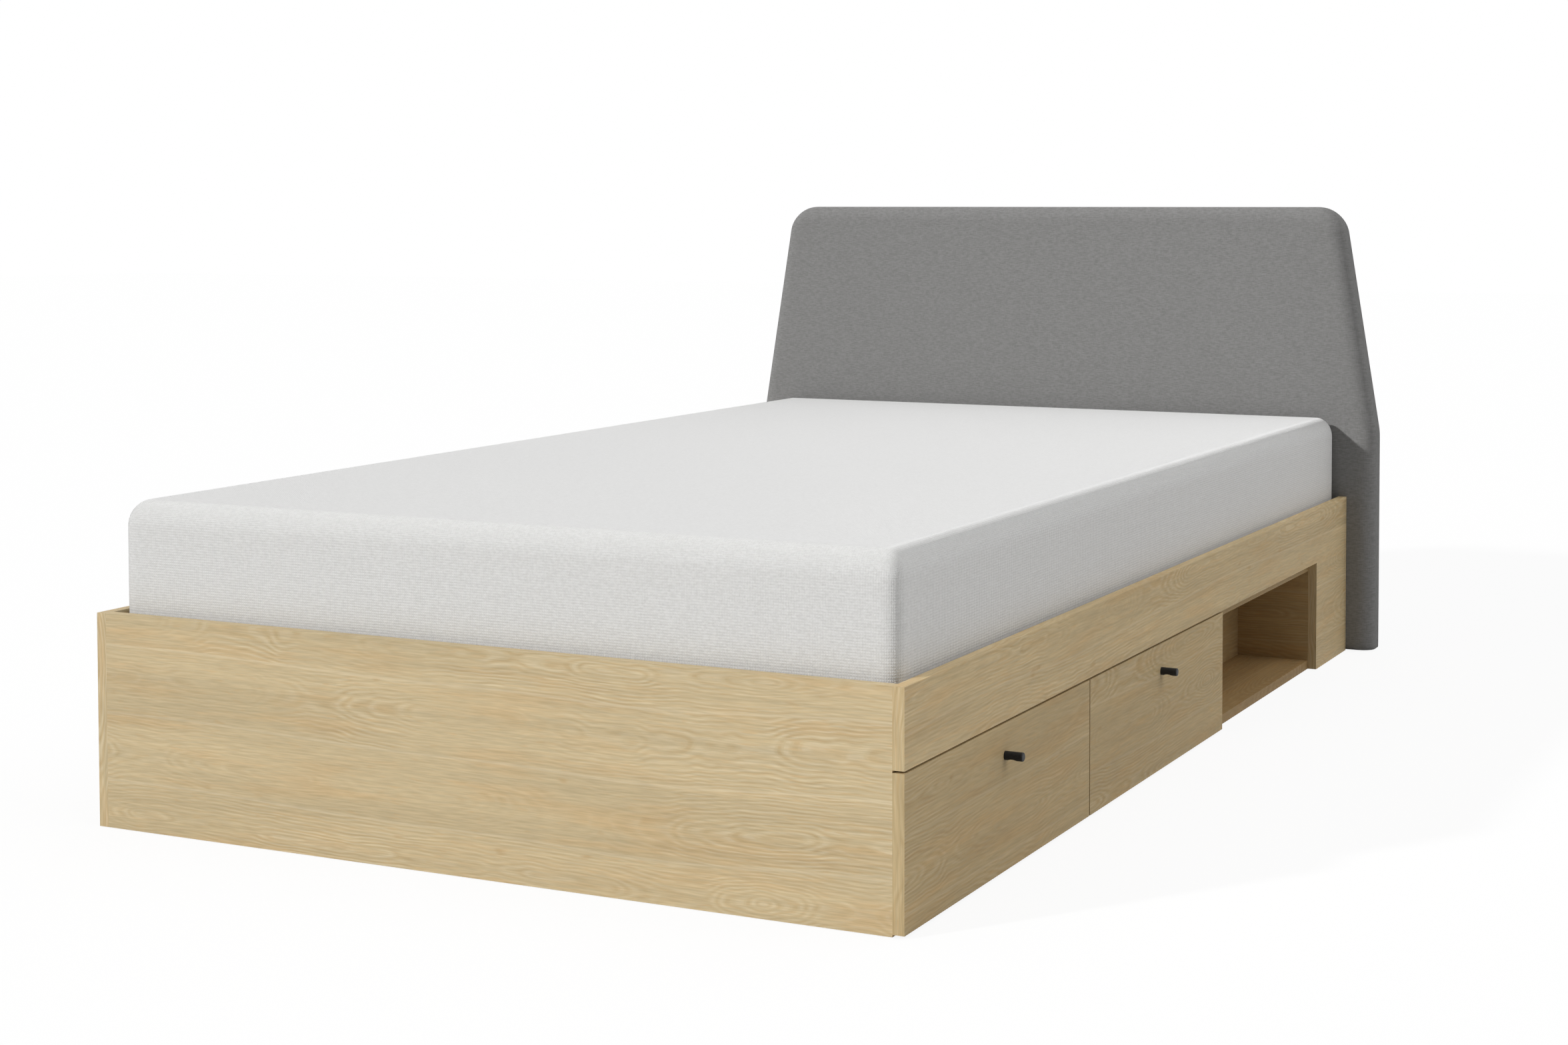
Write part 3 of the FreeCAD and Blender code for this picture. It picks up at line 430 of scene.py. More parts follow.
def oak_laminate(name, grain, across, thick, painted_shade, seed):
    """Printed oak: ring lines on a warm base, then flecks, knots and joints, all times bands and fibres, and
    times the board's painted shade.
    """
    material, tree, shader = new_paint("oak_laminate_" + name)
    along, over = print_lines(tree, grain, across, thick)
    offset, pick = strip_at(tree, along, over, seed)
    reach, wave = rings_at(tree, along, over, offset, pick, seed)
    figure = times(tree, ramp(tree, layer(tree, "figure", along, pick), *FIGURE),
                   ramp(tree, layer(tree, "breaks", along, over, seed), *BREAKS))
    noise = {part: layer(tree, part, along, over, seed) for part in (*STAINS, *SHADES)}
    stain = {part: ramp(tree, noise[part], *levels) for part, levels in STAINS.items()}
    to_joint = minus(tree, STRIP / 2, calc(tree, "ABSOLUTE", offset))

    shade = mixed(tree, stain["patches"], BASE_OAK, WARM_OAK)
    shade = mixed(tree, times(tree, ramp(tree, wave, *DARK_WAVE), figure), shade, LINE_OAK)
    shade = mixed(tree, times(tree, ramp(tree, wave, *PALE_WAVE), figure), shade, PALE_OAK)
    shade = mixed(tree, times(tree, ramp(tree, reach, *CORE), figure), shade, PALE_OAK)
    shade = mixed(tree, stain["flecks"], shade, WARM_OAK)
    shade = mixed(tree, stain["knots"], shade, KNOT_OAK)
    shade = mixed(tree, ramp(tree, to_joint, *JOINT), shade, PALE_OAK)
    for part, levels in SHADES.items():
        shade = mixed(tree, 1.0, shade, ramp(tree, noise[part], *levels), "MULTIPLY")
    # Painted shade: boards in shade get a darker or warmer colour here; white leaves a board as printed.
    shade = mixed(tree, 1.0, shade, painted_shade, "MULTIPLY")
    tree.links.new(shade, shader.inputs["Base Color"])
    tree.links.new(ramp(tree, noise["fibres"], *OAK_ROUGHNESS), shader.inputs["Roughness"])
    shader.inputs["Specular IOR Level"].default_value = OAK_GLOSS
    relief(tree, shader, noise["fibres"], OAK_RELIEF)
    paint(material, name)


print("oak roughness from", OAK_ROUGHNESS[2], "to", OAK_ROUGHNESS[3])

# %% [markdown]
# ## The printed boards
# All boards carry the same kind of print, but no two are cut from the same place of the paper, so each gets
# its own seed. The print lies level on every board. Boards in shade also get painted shade in their colour:
# the right side panel a little warmer, the drawer fronts a little darker than the footboard, and the niche
# darker still, with its bottom darkest of all.

# %% Printed boards
PLAIN_TONE = colour(1.0, 1.0, 1.0)
# Painted shade: the right side panel faces away from the key light and is made a little warmer, as it looks
# in shade.
SIDE_PAINTED_SHADE = colour(1.0, 0.97, 0.92)
# Painted shade: the drawer fronts face away from the key light and are darkened for the shade that falls
# there.
DRAWER_PAINTED_SHADE = colour(0.87, 0.83, 0.76)
# Painted shade: the niche boards are darker and warmer for the shade inside the recess.
NICHE_PAINTED_SHADE = colour(0.78, 0.69, 0.56)
# Painted shade: the niche bottom is darkest of all, for the deepest shade in the recess.
NICHE_FLOOR_PAINTED_SHADE = colour(0.60, 0.50, 0.38)
FIRST_SEED = 0.4
SEED_STEP = 1.7
# Each board: its name, the axes along its grain, across its grain and through it, and its painted shade
# (white for none).
BOARDS = (
    ("footboard", X, Z, Y, PLAIN_TONE),
    ("left_side_panel", Y, Z, X, PLAIN_TONE),
    ("right_side_panel", Y, Z, X, SIDE_PAINTED_SHADE),
    ("head_cross_panel", X, Z, Y, PLAIN_TONE),
    ("centre_partition", Y, Z, X, PLAIN_TONE),
    ("drawer_divider", X, Z, Y, PLAIN_TONE),
    ("niche_foot_wall", X, Z, Y, NICHE_PAINTED_SHADE),
    ("niche_head_wall", X, Z, Y, NICHE_PAINTED_SHADE),
    ("niche_bottom", Y, X, Z, NICHE_FLOOR_PAINTED_SHADE),
    ("niche_top", Y, X, Z, NICHE_PAINTED_SHADE),
    ("niche_back", Y, Z, X, NICHE_PAINTED_SHADE),
    ("drawer_1_front", Y, Z, X, DRAWER_PAINTED_SHADE),
    ("drawer_2_front", Y, Z, X, DRAWER_PAINTED_SHADE),
)
for number, (name, grain, across, thick, painted_shade) in enumerate(BOARDS):
    oak_laminate(name, grain, across, thick, painted_shade, SEED_STEP * number + FIRST_SEED)
print("boards with an oak print:", len(BOARDS))

# %% [markdown]
# ## Hidden timber and drawer boxes
# The slats and cleats are raw pine and the dowels are beech. The drawer boxes are plain light board with a
# faint fleck, and the headboard stands on raw chipboard. They are seen little, so one noise
# is enough: stretched along the timber for pine and beech, even in all directions for the boards.

# %% Hidden timber and drawer boxes
# Most of a noise lies between these two levels.
NOISE_SPAN = (0.3, 0.7)
NOISE_DETAIL = 3.0
TIMBER_PER_METRE = 2.0
PINE = (colour(0.70, 0.54, 0.34), colour(0.60, 0.42, 0.23))
BEECH = (colour(0.62, 0.44, 0.28), colour(0.54, 0.36, 0.21))
DRAWER_BOARD = (colour(0.66, 0.64, 0.60), colour(0.60, 0.58, 0.54))
DRAWER_BOTTOM = (colour(0.70, 0.69, 0.66), colour(0.65, 0.63, 0.60))
CHIPBOARD = (colour(0.55, 0.42, 0.27), colour(0.36, 0.25, 0.14))


def mottled(label, colours, scales, fineness, rough, depth, names):
    """Two colours mixed by one noise, which also sets the roughness and raises a faint relief."""
    material, tree, shader = new_paint(label)
    place = coordinates(tree, "Object")
    noise = cloud(tree, place[X], place[Y], place[Z], scales, NOISE_DETAIL, fineness)
    tree.links.new(mixed(tree, ramp(tree, noise, *NOISE_SPAN), *colours), shader.inputs["Base Color"])
    tree.links.new(ramp(tree, noise, *NOISE_SPAN, *rough), shader.inputs["Roughness"])
    relief(tree, shader, noise, depth)
    paint(material, *names)
    return shader


def raw_timber(label, colours, grain, lines, names):
    """Solid timber: noise with few patches along the grain and a number of lines per metre across it."""
    scales = [lines, lines, lines]
    scales[grain] = TIMBER_PER_METRE
    mottled(label, colours, scales, fineness=0.6, rough=(0.55, 0.68), depth=0.0002, names=names)


def flecked_board(label, colours, flecks, rough, names):
    """Board with a number of small flecks per metre in all directions."""
    span = (rough - 0.04, rough + 0.05)
    mottled(label, colours, (flecks, flecks, flecks), fineness=0.65, rough=span, depth=0.00008, names=names)


raw_timber("pine_slats", PINE, X, 90.0, ["slats"])
raw_timber("pine_cleats", PINE, Y, 90.0, ["left_slat_cleat", "right_slat_cleat"])
raw_timber("beech_dowels", BEECH, X, 500.0, ["niche_dowels", "drawer_1_dowels", "drawer_2_dowels"])
flecked_board("headboard_chipboard", CHIPBOARD, 260.0, 0.7, ["headboard_board"])
for number in (1, 2):
    drawer = f"drawer_{number}_"
    flecked_board(f"drawer_board_{number}", DRAWER_BOARD, 700.0, 0.45,
                  [drawer + "foot_side", drawer + "head_side", drawer + "back"])
    flecked_board(f"drawer_bottom_{number}", DRAWER_BOTTOM, 900.0, 0.40, [drawer + "bottom"])
print("timber and drawer boxes are painted")

# %% [markdown]
# ## Metal and plastic
# The knobs are black with a satin coat. The runners are white-lacquered steel, the screws, bolts and
# axles zinc-plated, the cam housings cast zinc and the rollers white nylon. One flat colour would
# look like a drawing, so each of them gets a faint cloud in its roughness and colour.

# %% Metal and plastic
KNOB_BLACK = (colour(0.006, 0.006, 0.006), colour(0.010, 0.010, 0.010))
RUNNER_WHITE = (colour(0.70, 0.70, 0.69), colour(0.64, 0.64, 0.63))
ROLLER_WHITE = (colour(0.62, 0.62, 0.60), colour(0.57, 0.57, 0.55))
ZINC_PLATE = (colour(0.66, 0.66, 0.65), colour(0.56, 0.57, 0.58))
CAST_ZINC = (colour(0.58, 0.58, 0.57), colour(0.48, 0.48, 0.48))


def even_finish(label, colours, patches, rough, names, metallic=0.0, gloss=0.5):
    """A smooth factory finish with a number of faint clouds per metre."""
    span = (rough - 0.05, rough + 0.06)
    shader = mottled(label, colours, (patches, patches, patches), fineness=0.5, rough=span, depth=0.00002,
                     names=names)
    shader.inputs["Metallic"].default_value = metallic
    shader.inputs["Specular IOR Level"].default_value = gloss


for number in (1, 2):
    drawer = f"drawer_{number}_"
    even_finish(f"knob_black_{number}", KNOB_BLACK, 400.0, 0.46, [drawer + "knob"], gloss=0.25)
    even_finish(f"runner_steel_{number}", RUNNER_WHITE, 300.0, 0.38,
                [drawer + "runners", drawer + "foot_channel", drawer + "head_channel"])
    even_finish(f"roller_plastic_{number}", ROLLER_WHITE, 500.0, 0.42,
                [drawer + "front_rollers", drawer + "rear_rollers"])
    even_finish(f"zinc_steel_{number}", ZINC_PLATE, 900.0, 0.34,
                [drawer + "knob_screw", drawer + "runner_screws", drawer + "roller_axles"], metallic=1.0)
even_finish("zinc_steel", ZINC_PLATE, 900.0, 0.34,
            ["cam_bolts", "partition_screws", "cleat_screws", "headboard_bolts", "headboard_nuts",
             "cabinet_runner_screws", "cabinet_roller_axles"], metallic=1.0)
even_finish("cam_zinc", CAST_ZINC, 700.0, 0.45, ["cam_housings"], metallic=1.0)
print("metal and plastic are painted")

# %% [markdown]
# ## Woven cloth
# Mattress cover, headboard fabric, lining and tapes are all plain weaves of different thread. Every thread
# could be modelled, but a bed has far too many of them. A plain weave lifts its threads like a chessboard,
# which a product of two sine waves draws well. Uneven yarn adds short streaks along both threads.
# The pattern follows the cloth's own coordinates in metres.

# %% Woven cloth
WEFT_SHARE = 0.7
WARP_SHARE = 0.3
WEFT_SLICE = 0.3
WARP_SLICE = 4.1
YARN_FINENESS = 0.6
YARN_SPAN = (0.34, 0.66)
LIFT_LIGHT = 0.25
LIFT_HEIGHT = 0.6
YARN_HEIGHT = 0.6
CLOTH_ROUGHNESS = (0.94, 0.84)


def woven(label, light, dark, pitch, streak, slub, depth, sheen=0.0, gloss=0.25):
    """Plain weave: lift = |sin(u) * sin(v)|, with streaks of uneven yarn, streak long and slub wide."""
    material, tree, shader = new_paint(label)
    place = coordinates(tree, "UV")
    u, v = place[X], place[Y]
    turn = math.pi / pitch
    weave = times(tree, calc(tree, "SINE", times(tree, u, turn)), calc(tree, "SINE", times(tree, v, turn)))
    lift = calc(tree, "ABSOLUTE", weave)
    weft = cloud(tree, u, v, WEFT_SLICE, (1 / streak, 1 / slub, 1.0), NOISE_DETAIL, YARN_FINENESS)
    warp = cloud(tree, u, v, WARP_SLICE, (1 / slub, 1 / streak, 1.0), NOISE_DETAIL, YARN_FINENESS)
    yarn = add(tree, times(tree, weft, WEFT_SHARE), times(tree, warp, WARP_SHARE))
    share = add(tree, ramp(tree, yarn, *YARN_SPAN), times(tree, lift, LIFT_LIGHT))
    height = add(tree, times(tree, lift, LIFT_HEIGHT), times(tree, yarn, YARN_HEIGHT))
    tree.links.new(mixed(tree, share, dark, light), shader.inputs["Base Color"])
    tree.links.new(ramp(tree, yarn, *NOISE_SPAN, *CLOTH_ROUGHNESS), shader.inputs["Roughness"])
    shader.inputs["Sheen Weight"].default_value = sheen
    shader.inputs["Specular IOR Level"].default_value = gloss
    relief(tree, shader, height, depth)
    return material


mattress_cloth = woven("mattress_fabric", colour(0.775, 0.773, 0.760), colour(0.680, 0.676, 0.662),
                       pitch=0.0036, streak=0.006, slub=0.0026, depth=0.00055, sheen=1.0)
headboard_cloth = woven("headboard_fabric", colour(0.282, 0.280, 0.275), colour(0.205, 0.203, 0.199),
                        pitch=0.0016, streak=0.009, slub=0.0014, depth=0.0002, gloss=0.03)
lining_cloth = woven("lining_fabric", colour(0.040, 0.040, 0.042), colour(0.024, 0.024, 0.025),
                     pitch=0.0012, streak=0.006, slub=0.003, depth=0.0002)
tape_cloth = woven("webbing_tape", colour(0.70, 0.68, 0.62), colour(0.58, 0.56, 0.50),
                   pitch=0.0022, streak=0.020, slub=0.0015, depth=0.0004)
print("cloth:", [cloth.name for cloth in (mattress_cloth, headboard_cloth, lining_cloth, tape_cloth)])

# %% [markdown]
# ## Surfaces from grids
# A soft piece is built from grids of points. Each grid is worked out at once with numpy, the grids are put
# together, points that meet are made one, and every grid keeps its own cloth coordinates in metres.
# A remeshed block would lose those coordinates, and with them the weave.

# %% Surface tools
# Points in the same cell of 0.01 mm are made one.
CELLS_PER_METRE = 1e5
# A closed rectangle, 1 wide about its middle and 1 high.
RECTANGLE = np.array([[-0.5, 0.0], [0.5, 0.0], [0.5, 1.0], [-0.5, 1.0], [-0.5, 0.0]])


def box_of(node):
    """The lowest and the highest corner of a piece of the construction."""
    return [np.array(corner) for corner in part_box(node)]


def quads(rows, columns):
    """Corner numbers of the faces of a grid whose points are counted row by row."""
    first = np.arange(rows - 1)[:, None] * columns + np.arange(columns - 1)[None, :]
    return np.stack([first, first + 1, first + columns + 1, first + columns], -1).reshape(-1, 4)


def soft_piece(name, grids, material):
    """Joins grids (points, cloth coordinates, flip) into one smooth piece and makes points that meet one."""
    points, cloth, faces, count = [], [], [], 0
    for place, on_cloth, flip in grids:
        rows, columns = place.shape[:2]
        grid_faces = quads(rows, columns) + count
        faces.append(grid_faces[:, ::-1] if flip else grid_faces)
        points.append(place.reshape(-1, 3))
        cloth.append(on_cloth.reshape(-1, 2))
        count += rows * columns
    points, cloth, faces = np.concatenate(points), np.concatenate(cloth), np.concatenate(faces)
    cells = np.round(points * CELLS_PER_METRE).astype(np.int64)
    first, same = np.unique(cells, axis=0, return_index=True, return_inverse=True)[1:]
    mesh = bpy.data.meshes.new(name)
    mesh.from_pydata(points[first].tolist(), [], same.reshape(-1)[faces].tolist())
    cloth_map = mesh.uv_layers.new(name="cloth")
    cloth_map.data.foreach_set("uv", cloth[faces.reshape(-1)].astype(np.float32).reshape(-1))
    mesh.shade_smooth()
    mesh.materials.append(material)
    made = bpy.data.objects.new(name, mesh)
    scene.collection.objects.link(made)
    return made


def closed_strip(points, cloth, flip):
    """A strip with a four-cornered section, carried along its rows, and a face over each of its ends."""
    strip = [(points, cloth, flip)]
    for end, turned in ((points[0], not flip), (points[-1], flip)):
        strip.append((np.stack([end[:2], end[3:1:-1]]), np.zeros((2, 2, 2)), turned))
    return strip


def lengths_along(line):
    """The distance of each point of a line from its first point, along the line."""
    return np.concatenate([[0], np.cumsum(np.linalg.norm(np.diff(line, axis=0), axis=1))])


print("surface tools are ready")

# %% [markdown]
# ## The swell of a cover
# A tight cover over foam is never quite flat: the filling pushes it out, most in the middle. A dome could be
# written as a formula, but Blender's cloth finds the form by itself when it is blown up with a little air.
# A free cover would rise far too high. So only the outward part of its push is used, scaled
# down until its highest point stands out by the crown. Points that are held stay where they are.

# %% Swell
AIR_PRESSURE = 4.0
CROWN = 0.004
CLOTH_STEPS = 5
CLOTH_MASS = 0.3
LAST_FRAME = 20


def points_of(mesh):
    """The points of a mesh as rows of x, y, z."""
    flat = np.empty(len(mesh.vertices) * 3, np.float32)
    mesh.vertices.foreach_get("co", flat)
    return flat.reshape(-1, 3).astype(float)


def swell(piece, held):
    """Crowns a cover by air pressure: out = CROWN * push / largest push along its facing, never inwards."""
    start = points_of(piece.data)
    group = piece.vertex_groups.new(name="held")
    group.add(np.flatnonzero(held(start)).tolist(), 1.0, "REPLACE")
    cloth = piece.modifiers.new("swell", "CLOTH")
    cloth.settings.quality = CLOTH_STEPS
    cloth.settings.mass = CLOTH_MASS
    cloth.settings.use_pressure = True
    cloth.settings.uniform_pressure_force = AIR_PRESSURE
    cloth.settings.effector_weights.gravity = 0
    cloth.settings.vertex_group_mass = "held"
    cloth.point_cache.frame_start = 1
    cloth.point_cache.frame_end = LAST_FRAME
    for number in range(1, LAST_FRAME + 1):
        scene.frame_set(number)
    graph = bpy.context.evaluated_depsgraph_get()
    moved = points_of(piece.evaluated_get(graph).data) - start
    facing = np.empty(start.size, np.float32)
    piece.data.vertex_normals.foreach_get("vector", facing)
    facing = facing.reshape(-1, 3)
    push = np.maximum(np.sum(moved * facing, axis=1, keepdims=True), 0)
    out = CROWN * push / push.max()
    piece.modifiers.remove(cloth)
    piece.vertex_groups.remove(group)
    scene.frame_set(1)
    piece.data.vertices.foreach_set("co", (start + facing * out).astype(np.float32).reshape(-1))
    piece.data.update()
    print(piece.name, "would rise by", round(float(push.max()), 4), "m, and its crown is", CROWN, "m")


def smooth_once(piece):
    """One level of subdivision, the same in the view and in the render."""
    finer = piece.modifiers.new("finer", "SUBSURF")
    finer.levels = 1
    finer.render_levels = 1


print("the swell is ready")

# %% [markdown]
# ## The mattress
# A foam block in a tight woven cover, about 200 mm thick, with softly rounded edges and no piping.
# A bevelled cube has the same round on all its edges, but here the upright corners are squarer than the top
# edge. So the surface is a box of six grids whose edges are rounded by one rule: a point keeps its place on
# an inner box and is pushed out from there by the edge radius. Air pressure then crowns the top.
# It would draw the sides in, but they look flat in the photograph and stay so.

# %% Mattress shape
# The cover stands past its solid to the left, to the right and above.
PAST_LOW = (0.0065, 0.0, 0.0)
PAST_HIGH = (0.0015, 0.0, 0.004)
EDGE = np.array([0.030, 0.030, 0.037])
EDGE_STEPS = 6
UPRIGHT = 3.2
MATTRESS_STEP = 0.024

mattress_low, mattress_high = box_of("mattress_cover")
mattress_low -= PAST_LOW
mattress_high += PAST_HIGH
middle = (mattress_low + mattress_high) / 2
half = (mattress_high - mattress_low) / 2


def spaced(reach, edge):
    """Places along one axis from -reach to reach: even over the flat part, EDGE_STEPS over each edge."""
    flat = reach - edge
    even = np.linspace(-flat, flat, int(np.ceil(2 * flat / MATTRESS_STEP)) + 1)
    turn = np.tan(np.linspace(0, math.pi / 4, EDGE_STEPS + 1)[1:]) * edge
    return np.concatenate([-flat - turn[::-1], even, flat + turn])


lines = [spaced(half[axis], EDGE[axis]) for axis in (X, Y, Z)]


def box_side(axis, sign):
    """One side of the rounded box with its cloth coordinates.

    The push has length 1 in edge radii: hypot((|x|^p + |y|^p)^(1/p), z), p = UPRIGHT."""
    first, second = [other for other in (X, Y, Z) if other != axis]
    place = np.empty((len(lines[second]), len(lines[first]), 3))
    place[..., first] = lines[first][None, :]
    place[..., second] = lines[second][:, None]
    place[..., axis] = sign * half[axis]
    inner = np.clip(place, -(half - EDGE), half - EDGE)
    out = (place - inner) / EDGE
    plan = (np.abs(out[..., :2]) ** UPRIGHT).sum(-1, keepdims=True) ** (1 / UPRIGHT)
    rounded = inner + EDGE * out / np.hypot(plan, out[..., 2:])
    cloth = np.stack([place[..., first], place[..., second]], -1)
    return rounded + middle, cloth, (sign > 0) == (axis == Y)


mattress_sides = [box_side(axis, sign) for axis in (X, Y, Z) for sign in (-1, 1)]
print("mattress:", (2 * half).round(4), "m, points on each axis:", [len(line) for line in lines])

# %% Mattress
MATTRESS_HELD = 0.02

mattress = soft_piece("mattress", mattress_sides, mattress_cloth)
swell(mattress, lambda at: at[:, Z] < mattress_low[Z] + MATTRESS_HELD)
smooth_once(mattress)
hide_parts("mattress_cover", "mattress_core")
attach(mattress, "bed")
print("mattress points:", len(mattress.data.vertices))

# %% [markdown]
# ## The headboard's outline
# The headboard is upright below, leans inwards above a soft kink and has rounded top corners. Pad, lining and
# staples all follow this outline at different insets, so it is written once, as the half width at a height.
# A straight line with a corner would be simpler, but the real kink is a little soft.

# %% Headboard outline
TOP_HALF = 0.603
KINK = 0.428
KINK_SOFT = 0.004
CORNER = 0.050

pad_low, pad_high = box_of("headboard_pad")
HALF_WIDTH = (pad_high[X] - pad_low[X]) / 2
TALL = pad_high[Z] - pad_low[Z]
LEAN = (HALF_WIDTH - TOP_HALF) / (TALL - KINK)
SLANT = math.cos(math.atan(LEAN))


def half_width(z):
    """Half the width at a height: HALF_WIDTH - LEAN * softplus(z - KINK), upright and then leaning in."""
    return HALF_WIDTH - LEAN * KINK_SOFT * np.logaddexp(0, (z - KINK) / KINK_SOFT)


def edge_at(z, inset):
    """The half width of the outline taken in by an inset, with a circle of CORNER - inset at the top."""
    up = np.clip(z - (TALL - CORNER), 0, CORNER - inset)
    return half_width(z) - (CORNER - np.sqrt((CORNER - inset) ** 2 - up ** 2)) / SLANT


print("headboard:", round(2 * HALF_WIDTH, 4), "m wide,", round(TALL, 4), "m tall, lean", round(LEAN, 4))

# %% [markdown]
# ## The headboard's front
# Foam on a board, covered with grey fabric that is pulled round the edge. A bevelled plate would have the
# same edge everywhere, but the lower edge, where the pad stands on the floor, is sharp. So the front is a
# grid across the outline, and the distance to the outline's sides and top gives the depth: about a
# quarter circle near the edge, flat elsewhere.

# %% Headboard front
SOFT = 0.030
ROUND = 2.1
KINK_NEAR = 0.010
KINK_CLEAR = 0.020
ROWS_BELOW, ROWS_KINK, ROWS_ABOVE, ROWS_CORNER, ROWS_EDGE = 22, 5, 20, 6, 8
COLUMNS = 61

turn = SOFT * (1 - np.sin(np.linspace(0, math.pi / 2, ROWS_EDGE)))
heights = np.concatenate([
    np.linspace(0, KINK - KINK_CLEAR, ROWS_BELOW),
    KINK + np.linspace(-KINK_NEAR, KINK_NEAR, ROWS_KINK),
    np.linspace(KINK + KINK_CLEAR, TALL - CORNER, ROWS_ABOVE),
    TALL - np.linspace(CORNER, SOFT, ROWS_CORNER)[1:-1],
    TALL - turn,
])
edge = edge_at(heights, 0)[:, None]
flat = (edge - SOFT / SLANT) * np.linspace(-1, 1, COLUMNS)
x = np.concatenate([-(edge - turn[:0:-1] / SLANT), flat, edge - turn[1:] / SLANT], 1)
z = np.repeat(heights[:, None], x.shape[1], 1)
to_side = (half_width(z) - np.abs(x)) * SLANT
to_top = TALL - z
to_corner = CORNER - np.hypot(np.maximum(CORNER - to_top, 0), np.maximum(CORNER - to_side, 0))
inset = np.clip(np.minimum(np.minimum(to_side, to_top), to_corner), 0, SOFT)
depth = SOFT * (1 - (1 - (1 - inset / SOFT) ** ROUND) ** (1 / ROUND))
front = np.stack([x, depth + pad_low[Y], z + pad_low[Z]], -1)
front_cloth = np.stack([x, z], -1)
print("front of the headboard:", front.shape[0], "rows of", front.shape[1], "points")

# %% [markdown]
# ## The headboard's wrapped edge
# From the front edge the fabric runs straight back, turns in over the back and ends at the board. Solidify
# could give the front a thickness, but not this wrap. A wall of points therefore starts at the rim of
# the front, runs back, turns in, and lines the pocket that holds the board. Front, wall and pocket
# become one cover, and air pressure crowns its front above the box.

# %% Headboard wrap
WRAP = 0.0123
BACK_SHARES = (0.0, 0.25, 0.5, 0.75, 0.95, 1.0)
TURN_SHARES = (0.15, 0.85, 1.0)
POCKET_SHARES = (0.1, 1.0)


def inset_grid(inset):
    """The front's grid drawn in to the outline at an inset: its x and its z."""
    inner_z = inset + z * (TALL - 2 * inset) / TALL
    return x / edge * edge_at(inner_z, inset), inner_z


def rim_of(grid):
    """The closed line of points round a grid."""
    line = np.concatenate([grid[0, :-1], grid[:-1, -1], grid[-1, :0:-1], grid[:0:-1, 0]])
    return np.concatenate([line, line[:1]])


def moved_back(line):
    """A line of points moved to the plane of the pad's back."""
    back = line.copy()
    back[:, Y] = pad_high[Y]
    return back


def between(start, end, shares):
    """Lines of points at shares of the way from one line to another."""
    return [start + (end - start) * share for share in shares]


board_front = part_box("headboard_board")[0][Y]
pocket_x, pocket_z = inset_grid(WRAP)
pocket = np.stack([pocket_x, np.full(x.shape, board_front), pocket_z + pad_low[Z]], -1)
rim, mouth = rim_of(front), rim_of(pocket)
back_rim, back_mouth = moved_back(rim), moved_back(mouth)
wall = np.stack(between(rim, back_rim, BACK_SHARES) + between(back_rim, back_mouth, TURN_SHARES)
                + between(back_mouth, mouth, POCKET_SHARES))
steps = np.cumsum(np.linalg.norm(np.diff(wall, axis=0), axis=2), axis=0)
gone_back = np.concatenate([np.zeros((1, len(rim))), steps])
wall_cloth = np.stack([np.repeat(lengths_along(rim)[None], len(wall), 0), gone_back], -1)
print("wrap of the headboard:", wall.shape[0], "lines of", wall.shape[1], "points")

# %% Headboard cover
HELD_DEPTH = 0.030
box_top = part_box("right_side_panel")[1][Z]

cover_grids = [(front, front_cloth, False), (wall, wall_cloth, True), (pocket, front_cloth, True)]
pad = soft_piece("headboard_cover", cover_grids, headboard_cloth)
swell(pad, lambda at: (at[:, Y] > pad_low[Y] + HELD_DEPTH) | (at[:, Z] < box_top))
smooth_once(pad)
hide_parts("headboard_pad")
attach(pad, "bed")
print("pad points:", len(pad.data.vertices))

# %% [markdown]
# ## The lining
# Behind, the raw board and the cut edge of the fabric disappear under a dark lining. Its edge is folded
# under and stapled all round. Cloth could be simulated here too, but the lining is stretched, so its form is
# known: one sheet over the same outline, taken in a little, with a raised fold along its edge, a little
# slack in its middle and shallow pulls at the staples.

# %% Lining
HEM_IN = 0.007
HEM_TO = 0.022
HEM_STEP = 0.004
HEM_RISE = 0.0007
SLACK = 0.0008
SLACK_ACROSS, SLACK_UP, SLACK_START = 9, 11, 0.6
SLACK_FROM = 0.02
SLACK_OVER = 0.08
STAPLE_IN = 0.016
STAPLE_STEP = 0.062
PULL = 0.0004
PULL_FADE = 0.02
LINING_THICK = 0.0006
LINING_ROWS, LINING_CORNER_ROWS, LINING_COLUMNS, LINING_EDGE_COLUMNS = 90, 14, 120, 6
EDGE_SHARE = 0.012

corner_rows = TALL - np.linspace(CORNER, HEM_IN, LINING_CORNER_ROWS)[1:]
rows = np.concatenate([np.linspace(HEM_IN, TALL - CORNER, LINING_ROWS), corner_rows])
at_edge = EDGE_SHARE * np.linspace(0, 1, LINING_EDGE_COLUMNS)[:-1]
inner = np.linspace(EDGE_SHARE - 1, 1 - EDGE_SHARE, LINING_COLUMNS)
wide = np.concatenate([at_edge - 1, inner, 1 - at_edge[::-1]])
lining_edge = edge_at(rows, HEM_IN)
lining_z = np.repeat(rows[:, None], len(wide), 1)
lining_x = lining_edge[:, None] * wide
side = (half_width(lining_z) - np.abs(lining_x)) * SLANT
inside = np.minimum(np.minimum(side, TALL - lining_z), lining_z)
hem = HEM_RISE * np.clip((HEM_TO - inside) / HEM_STEP, 0, 1)
waves = np.sin(lining_x * SLACK_ACROSS) * np.sin(lining_z * SLACK_UP + SLACK_START)
slack = SLACK * waves * np.clip((inside - SLACK_FROM) / SLACK_OVER, 0, 1)
fade = np.exp(-np.maximum(inside - STAPLE_IN, 0) / PULL_FADE)
pulls = PULL * np.cos((lining_x + lining_z) * 2 * math.pi / STAPLE_STEP) * fade
lining_y = pad_high[Y] + LINING_THICK + hem + slack + pulls
lining_points = np.stack([lining_x, lining_y, lining_z + pad_low[Z]], -1)
lining_grid = (lining_points, np.stack([lining_x, lining_z], -1), True)
